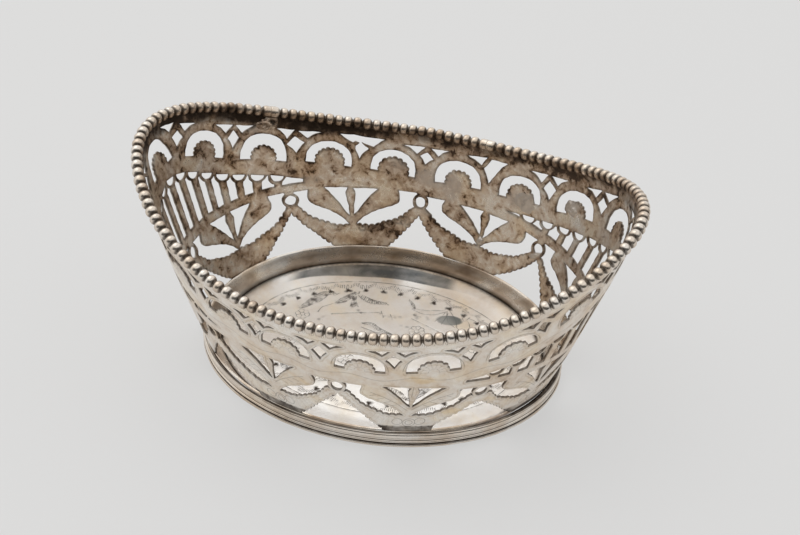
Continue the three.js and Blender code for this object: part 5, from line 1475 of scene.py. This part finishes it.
# ------------------------------------------------------------------ old repairs on the inside of the wall
def lump(name, s0, h0, rs, rh, height, seed, lift=0.0, rough=0.3, turn=0.0, grey=0.8, tone=0.3, hole=None):
    """A patch of solder or a small plate lying on the inside of the wall, thick in the middle, feathered at its edge."""
    r = np.random.default_rng(seed)
    rings_n, around = 12, 48
    a = np.linspace(0, 2 * PI, around, endpoint=False)
    out = 1 + 0.10 * np.sin(2 * a + r.uniform(0, 6)) + 0.08 * np.sin(3 * a + r.uniform(0, 6)) + 0.05 * np.sin(5 * a + r.uniform(0, 6)) + 0.03 * np.sin(9 * a + r.uniform(0, 6))
    verts, tt = [], []
    for i in range(rings_n + 1):
        f = (i / rings_n) ** 0.8
        x, y = rs * f * out * np.cos(a), rh * f * out * np.sin(a)
        c, n = math.cos(turn), math.sin(turn)
        s, h = s0 + x * c - y * n, h0 + x * n + y * c
        prof = (1 - f ** 3.2)
        bumpy = rough * height * waves(s, h, 0 * s, seed + 5, 2.2, 3)
        t = -SHEET / 2 + 0.12 - (height + 0.12) * prof - bumpy * prof - lift
        verts.append(wall(s, h, t))
        tt.append(prof + 0 * s)
    back_v = wall(s0 + rs * 0.9 * out * np.cos(a), h0 + rh * 0.9 * out * np.sin(a), -SHEET / 2 + 0.3)
    V = np.vstack([*verts, back_v, wall(np.array([s0]), np.array([h0]), np.array([-SHEET / 2 + 0.3]))])
    rows = rings_n + 2
    f4 = grid_faces(rows, around)
    i = np.arange(around)
    last = (rows - 1) * around
    f3 = np.stack([np.full(around, len(V) - 1), last + i, last + (i + 1) % around], 1)
    inward = wall(np.array([s0]), np.array([h0]), np.array([-1.0]))[0] - wall(np.array([s0]), np.array([h0]), np.array([0.0]))[0]
    if (face_normals(V, f4[around:around * rings_n, :3]).sum(0) * inward).sum() < 0:
        f4 = f4[:, ::-1]
    if (face_normals(V, f3).sum(0) * inward).sum() > 0:
        f3 = f3[:, ::-1]
    # the first ring is a point: join it
    cav = 0.5 * (1 - np.clip(np.concatenate(tt) * 3, 0, 1))
    cav = np.concatenate([cav, np.zeros(around + 1)])
    X = V
    if hole:
        place = wall(np.array([hole[0]]), np.array([hole[1]]), np.array([-SHEET]))[0]
        away = np.linalg.norm(X - place, axis=1)
        cav = np.maximum(cav, 0.9 * (1 - soft(away, hole[2] * 0.6, hole[2] * 1.3)))
    return make_object(name, V, [f4, f3], {"tarn": np.clip(tone + 0.3 * waves(X[:, 0], X[:, 1], X[:, 2], seed, 3.0, 3), 0, 1), "cav": cav,
                                          "solder": np.full(len(V), grey), "warm": np.full(len(V), 0.5), "inner": np.ones(len(V)), "edge": np.full(len(V), 4.0)})


rep_rosette = lump("repair_rosette_fine", -33.0, 28.6, 4.6, 3.4, 0.22, 101, rough=0.9)
rep_arch = lump("repair_arch_fine", -50.2, 36.0, 2.9, 2.7, 0.22, 102, rough=0.9)
rep_lump = lump("repair_lump_fine", 47.4, 45.4, 3.4, 2.6, 0.9, 103, rough=1.0, grey=0.12, tone=0.56, hole=(46.3, 45.6, 1.2))
rep_button = lump("repair_button_fine", -21.9, 9.3, 1.6, 1.6, 0.6, 104, rough=0.25)
rep_strip = lump("repair_strip_fine", -44.2, 14.1, 3.0, 0.95, 0.4, 105, rough=0.6, turn=-0.62)

# ------------------------------------------------------------------ materials
class Tree:
    def __init__(self, name):
        self.mat = bpy.data.materials.new(name)
        self.mat.use_nodes = True
        self.t = self.mat.node_tree
        self.t.nodes.clear()
        self.out = self.t.nodes.new("ShaderNodeOutputMaterial")
        self.bsdf = self.t.nodes.new("ShaderNodeBsdfPrincipled")
        self.t.links.new(self.bsdf.outputs[0], self.out.inputs[0])
        self.pos = self.t.nodes.new("ShaderNodeTexCoord").outputs["Object"]

    def put(self, sock, v):
        if isinstance(v, bpy.types.NodeSocket):
            self.t.links.new(v, sock)
        elif v is not None:
            sock.default_value = v

    def attr(self, name):
        n = self.t.nodes.new("ShaderNodeAttribute")
        n.attribute_name = name
        return n.outputs["Fac"]

    def math(self, op, a, b=None, c=None, clamp=False):
        n = self.t.nodes.new("ShaderNodeMath")
        n.operation = op
        n.use_clamp = clamp
        for sock, v in zip(n.inputs, (a, b, c)):
            self.put(sock, v)
        return n.outputs[0]

    def noise(self, scale, detail=4, rough=0.55, distortion=0.0, stretch=None, lac=2.0):
        vec = self.pos
        if stretch:
            m = self.t.nodes.new("ShaderNodeMapping")
            self.put(m.inputs["Vector"], self.pos)
            m.inputs["Scale"].default_value = stretch
            vec = m.outputs[0]
        n = self.t.nodes.new("ShaderNodeTexNoise")
        self.put(n.inputs["Vector"], vec)
        n.inputs["Scale"].default_value = scale
        n.inputs["Detail"].default_value = detail
        n.inputs["Roughness"].default_value = rough
        n.inputs["Distortion"].default_value = distortion
        return n.outputs[0]

    def ramp(self, fac, stops):
        n = self.t.nodes.new("ShaderNodeValToRGB")
        e = n.color_ramp.elements
        while len(e) < len(stops):
            e.new(0.5)
        for el, (p, c) in zip(e, stops):
            el.position = p
            el.color = (*c, 1)
        self.put(n.inputs[0], fac)
        return n.outputs[0]

    def mixc(self, fac, a, b, mode="MIX"):
        n = self.t.nodes.new("ShaderNodeMix")
        n.data_type = "RGBA"
        n.blend_type = mode
        self.put(n.inputs[0], fac)
        self.put(n.inputs[6], (*a, 1) if isinstance(a, tuple) else a)
        self.put(n.inputs[7], (*b, 1) if isinstance(b, tuple) else b)
        return n.outputs[2]

    def bump(self, height, strength, distance, normal=None):
        n = self.t.nodes.new("ShaderNodeBump")
        n.inputs["Strength"].default_value = strength
        n.inputs["Distance"].default_value = distance
        self.put(n.inputs["Height"], height)
        self.put(n.inputs["Normal"], normal)
        return n.outputs[0]


def silver(name, clean=(0.93, 0.90, 0.87), mid=(0.70, 0.60, 0.50), brown=(0.40, 0.30, 0.22), dark=(0.10, 0.07, 0.05),
           rough=(0.20, 0.45), blotch=0.28, speck=0.22, spot=False, shade=None, scratches=0.25, grain=0.3, pits=0.0, edged=False):
    m = Tree(name)
    tarn, cav, solder, warm, inside = m.attr("tarn"), m.attr("cav"), m.attr("solder"), m.attr("warm"), m.attr("inner")
    n1 = m.noise(170, 5, 0.6, 0.4)      # about 6 mm
    n2 = m.noise(560, 5, 0.62, 0.25)    # about 1.8 mm
    n3 = m.noise(2300, 3, 0.6)          # about 0.4 mm
    n4 = m.noise(330, 4, 0.6, 0.8)      # about 3 mm
    f = m.math("ADD", tarn, m.math("MULTIPLY", m.math("SUBTRACT", n1, 0.5), blotch * 2))
    f = m.math("ADD", f, m.math("MULTIPLY", m.math("SUBTRACT", n2, 0.5), speck * 2))
    if pits:
        step = lambda n, lo, hi: m.math("MULTIPLY", m.math("SUBTRACT", n, lo), 1.0 / (hi - lo), clamp=True)
        amount = m.math("MULTIPLY_ADD", inside, 0.85, 0.15)
        dark_spots = m.math("MULTIPLY", step(n2, 0.54, 0.66), pits * 0.6)
        dark_spots = m.math("MULTIPLY", dark_spots, m.math("MULTIPLY_ADD", step(n1, 0.48, 0.62), 1.0, 0.12))
        dark_area = m.math("MULTIPLY", step(n4, 0.54, 0.70), pits * 0.65)
        fine = m.math("MULTIPLY", step(n3, 0.54, 0.68), pits * 0.22)
        light_area = m.math("MULTIPLY", step(m.math("SUBTRACT", 1.0, n4), 0.52, 0.64), -0.46 * pits)
        more = m.math("ADD", m.math("ADD", dark_spots, dark_area), m.math("ADD", fine, light_area))
        f = m.math("ADD", f, m.math("MULTIPLY", more, amount))
    f = m.math("ADD", f, 0.0, clamp=True)
    col = m.ramp(f, [(0.0, clean), (0.38, mid), (0.72, brown), (1.0, dark)])
    yellow = m.math("MULTIPLY", m.math("MULTIPLY", warm, warm), 0.5)
    col = m.mixc(yellow, col, (1.0, 0.90, 0.72), "MULTIPLY")
    sol = m.math("MULTIPLY", solder, m.math("MULTIPLY_ADD", n2, 1.6, 0.0), clamp=True)
    col = m.mixc(sol, col, (0.66, 0.60, 0.54))
    cavf = m.math("MULTIPLY", cav, m.math("MULTIPLY_ADD", n2, 0.5, 0.72), clamp=True)
    if edged:
        # painted shade along the edge of each opening: a dark border on the inside, a thin tan painted shadow line on
        # the outside
        edge = m.attr("edge")
        border = m.math("MULTIPLY", m.math("SUBTRACT", 0.80, edge), 1.6, clamp=True)
        border = m.math("MULTIPLY", border, m.math("MULTIPLY", inside, m.math("MULTIPLY_ADD", n4, 2.4, -0.65, clamp=True)))
        cavf = m.math("MULTIPLY_ADD", border, 0.42, cavf, clamp=True)
        line = m.math("SUBTRACT", 1.0, m.math("MULTIPLY", m.math("ABSOLUTE", m.math("SUBTRACT", edge, 0.80)), 3.2), clamp=True)
        line = m.math("MULTIPLY", line, m.math("MULTIPLY", m.math("SUBTRACT", 1.0, inside), m.math("MULTIPLY_ADD", n4, 2.0, -0.55, clamp=True)))
        col = m.mixc(m.math("MULTIPLY", line, 0.85), col, (0.50, 0.37, 0.24))
    # cav darkens towards near-black: painted shade in gaps, recesses and cut faces, and dark patina in engraved lines
    col = m.mixc(cavf, col, (0.055, 0.040, 0.030))
    # painted dark reflection: the shade attribute mixes the colour towards the given dark tone
    if shade:
        sh = m.math("MULTIPLY", m.attr("shade"), m.math("MULTIPLY_ADD", n1, 0.7, 0.6), clamp=True)
        col = m.mixc(sh, col, shade)
    if spot:
        sp = m.attr("spot")
        col = m.mixc(m.math("MULTIPLY", sp, 0.92), col, (0.15, 0.18, 0.19))
    m.put(m.bsdf.inputs["Base Color"], col)
    m.bsdf.inputs["Metallic"].default_value = 1.0
    r = m.math("MULTIPLY_ADD", f, rough[1] - rough[0], rough[0])
    r = m.math("ADD", r, m.math("MULTIPLY", m.math("SUBTRACT", n3, 0.5), 0.14))
    r = m.math("ADD", r, m.math("MULTIPLY", cavf, 0.25), clamp=True)
    m.put(m.bsdf.inputs["Roughness"], r)
    sc = m.noise(420, 6, 0.75, 0.0, stretch=(1.0, 7.0, 4.0))
    b = m.bump(n1, 0.35 * grain, 0.0012)
    b = m.bump(n2, grain, 0.00016, b)
    b = m.bump(sc, scratches, 0.00010, b)
    if edged:
        swell = m.math("MULTIPLY", m.math("MULTIPLY", m.math("SUBTRACT", m.attr("edge"), 0.05), 1.25, clamp=True), inside)
        b = m.bump(m.math("POWER", swell, 0.6), 1.0, 0.00010, b)
    m.put(m.bsdf.inputs["Normal"], b)
    return m.mat


mat_wall = silver("wall_silver_toned", clean=(0.89, 0.845, 0.78), mid=(0.73, 0.62, 0.51), brown=(0.44, 0.32, 0.23), rough=(0.28, 0.44), pits=0.78, grain=0.45, edged=True)
mat_bead = silver("bead_silver_bright", clean=(0.82, 0.775, 0.72), rough=(0.18, 0.36), blotch=0.16, speck=0.14, grain=0.12, scratches=0.1)
mat_mould = silver("moulding_silver_reeded", clean=(0.85, 0.80, 0.74), rough=(0.18, 0.36), blotch=0.18, speck=0.14, grain=0.15, scratches=0.15)
mat_band = silver("band_silver_satin", clean=(0.90, 0.87, 0.82), rough=(0.22, 0.40), blotch=0.20, speck=0.12, shade=(0.17, 0.145, 0.12), grain=0.06, scratches=0.22)
mat_plate = silver("plate_silver_engraved", clean=(0.98, 0.96, 0.935), rough=(0.30, 0.46), blotch=0.12, speck=0.12, spot=True, shade=(0.125, 0.135, 0.14), grain=0.12, scratches=0.35)
mat_solder = silver("repair_solder_grey", clean=(0.74, 0.70, 0.65), mid=(0.62, 0.57, 0.51), brown=(0.42, 0.34, 0.27), rough=(0.34, 0.5), blotch=0.3, speck=0.4, grain=0.6, pits=0.5)

ROWS = [(plate_obj, "base_plate", mat_plate, "plate_silver"), (band_obj, "foot_band", mat_band, "band_silver"), (mould_obj, "foot_moulding", mat_mould, "moulding_silver"),
        (wall_obj, "pierced_wall", mat_wall, "wall_silver"), (beads_long, "bead_rim_long", mat_bead, "bead_silver"), (beads_short, "bead_rim_short", mat_bead, "bead_silver"),
        (rep_rosette, "repair_plate_rosette", mat_solder, "repair_solder"), (rep_arch, "repair_plate_arch", mat_solder, "repair_solder"),
        (rep_lump, "repair_lump_rim", mat_wall, "repair_solder"), (rep_button, "repair_button_bud", mat_solder, "repair_solder"),
        (rep_strip, "repair_strip_ring", mat_solder, "repair_solder")]
for ob, node, mat, slot_name in ROWS:
    ob.data.materials.append(mat)
    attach(ob, "root")
    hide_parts(node)

# ------------------------------------------------------------------ floor, light
me = bpy.data.meshes.new("floor")
me.from_pydata([(-3, -3, 0), (3, -3, 0), (3, 3, 0), (-3, 3, 0)], [], [(0, 1, 2, 3)])
floor = bpy.data.objects.new("floor", me)
bpy.context.scene.collection.objects.link(floor)
fm = Tree("floor_paper")
fm.bsdf.inputs["Base Color"].default_value = (0.27, 0.27, 0.27, 1)
fm.bsdf.inputs["Emission Color"].default_value = (1.0, 1.0, 0.995, 1)
fm.bsdf.inputs["Emission Strength"].default_value = 0.487
fm.bsdf.inputs["Roughness"].default_value = 0.85
fm.bsdf.inputs["Specular IOR Level"].default_value = 0.15
me.materials.append(fm.mat)

world = bpy.data.worlds.new("world")
bpy.context.scene.world = world
world.use_nodes = True
wt = world.node_tree
wt.nodes.clear()
w_out = wt.nodes.new("ShaderNodeOutputWorld")
w_bg = wt.nodes.new("ShaderNodeBackground")
wt.links.new(w_bg.outputs[0], w_out.inputs[0])
tc = wt.nodes.new("ShaderNodeTexCoord")
sep = wt.nodes.new("ShaderNodeSeparateXYZ")
wt.links.new(tc.outputs["Generated"], sep.inputs[0])


def wmath(op, a, b=None, c=None, clamp=False):
    n = wt.nodes.new("ShaderNodeMath")
    n.operation = op
    n.use_clamp = clamp
    for sock, v in zip(n.inputs, (a, b, c)):
        if isinstance(v, bpy.types.NodeSocket):
            wt.links.new(v, sock)
        elif v is not None:
            sock.default_value = v
    return n.outputs[0]


# a bright tent of light, brighter high up on the left, with a dark gap low down on the photographer's side
toward = wmath("ADD", wmath("MULTIPLY", sep.outputs[0], math.sin(AZ)), wmath("MULTIPLY", sep.outputs[1], -math.cos(AZ)))
gap_side = wmath("MULTIPLY", wmath("SUBTRACT", toward, 0.10), 2.2, clamp=True)
gap_low = wmath("SUBTRACT", 1.0, wmath("MULTIPLY", wmath("SUBTRACT", sep.outputs[2], 0.62), 5.0, clamp=True), clamp=True)
gap = wmath("MULTIPLY", gap_side, gap_low)
level = wmath("MULTIPLY_ADD", gap, -0.76, 0.86)
lx, ly, lz = Vector((-0.42, 0.30, 0.86)).normalized()
box = wmath("ADD", wmath("MULTIPLY", sep.outputs[0], lx), wmath("ADD", wmath("MULTIPLY", sep.outputs[1], ly), wmath("MULTIPLY", sep.outputs[2], lz)))
box = wmath("MULTIPLY", wmath("SUBTRACT", box, 0.90), 14.0, clamp=True)
right_side = wmath("MULTIPLY", wmath("SUBTRACT", sep.outputs[0], 0.18), 1.8, clamp=True)
right_low = wmath("SUBTRACT", 1.0, wmath("MULTIPLY", wmath("SUBTRACT", sep.outputs[2], 0.30), 3.0, clamp=True), clamp=True)
level = wmath("MULTIPLY", level, wmath("MULTIPLY_ADD", wmath("MULTIPLY", right_side, right_low), -0.62, 1.0))
behind = wmath("MULTIPLY", wmath("SUBTRACT", wmath("MULTIPLY", toward, -1.0), 0.35), 2.5, clamp=True)
behind = wmath("MULTIPLY", behind, wmath("MULTIPLY", wmath("SUBTRACT", sep.outputs[2], 0.30), 5.0, clamp=True))
level = wmath("MULTIPLY_ADD", behind, 0.13, level)
level = wmath("ADD", level, wmath("MULTIPLY", box, 0.5))
wt.links.new(level, w_bg.inputs["Strength"])
w_bg.inputs["Color"].default_value = (1.0, 0.99, 0.975, 1)


def area(name, loc, size, power, color=(1, 1, 1), target=(0, 0, 0.03)):
    d = bpy.data.lights.new(name, "AREA")
    d.shape = "RECTANGLE"
    d.size, d.size_y = size
    d.energy = power
    d.color = color
    ob = bpy.data.objects.new(name, d)
    ob.location = loc
    ob.rotation_mode = "QUATERNION"
    ob.rotation_quaternion = (Vector(target) - Vector(loc)).to_track_quat("-Z", "Y")
    bpy.context.scene.collection.objects.link(ob)
    return ob


area("key", (-0.55, 0.15, 0.95), (1.2, 1.2), 1.2, (1.0, 0.985, 0.96))
area("fill", (0.7, -0.2, 0.8), (0.9, 0.9), 0.3, (0.97, 0.985, 1.0))

scene = bpy.context.scene
scene.view_settings.view_transform = "Standard"
scene.view_settings.look = "None"
scene.view_settings.exposure = 0.0
scene.view_settings.gamma = 1.0
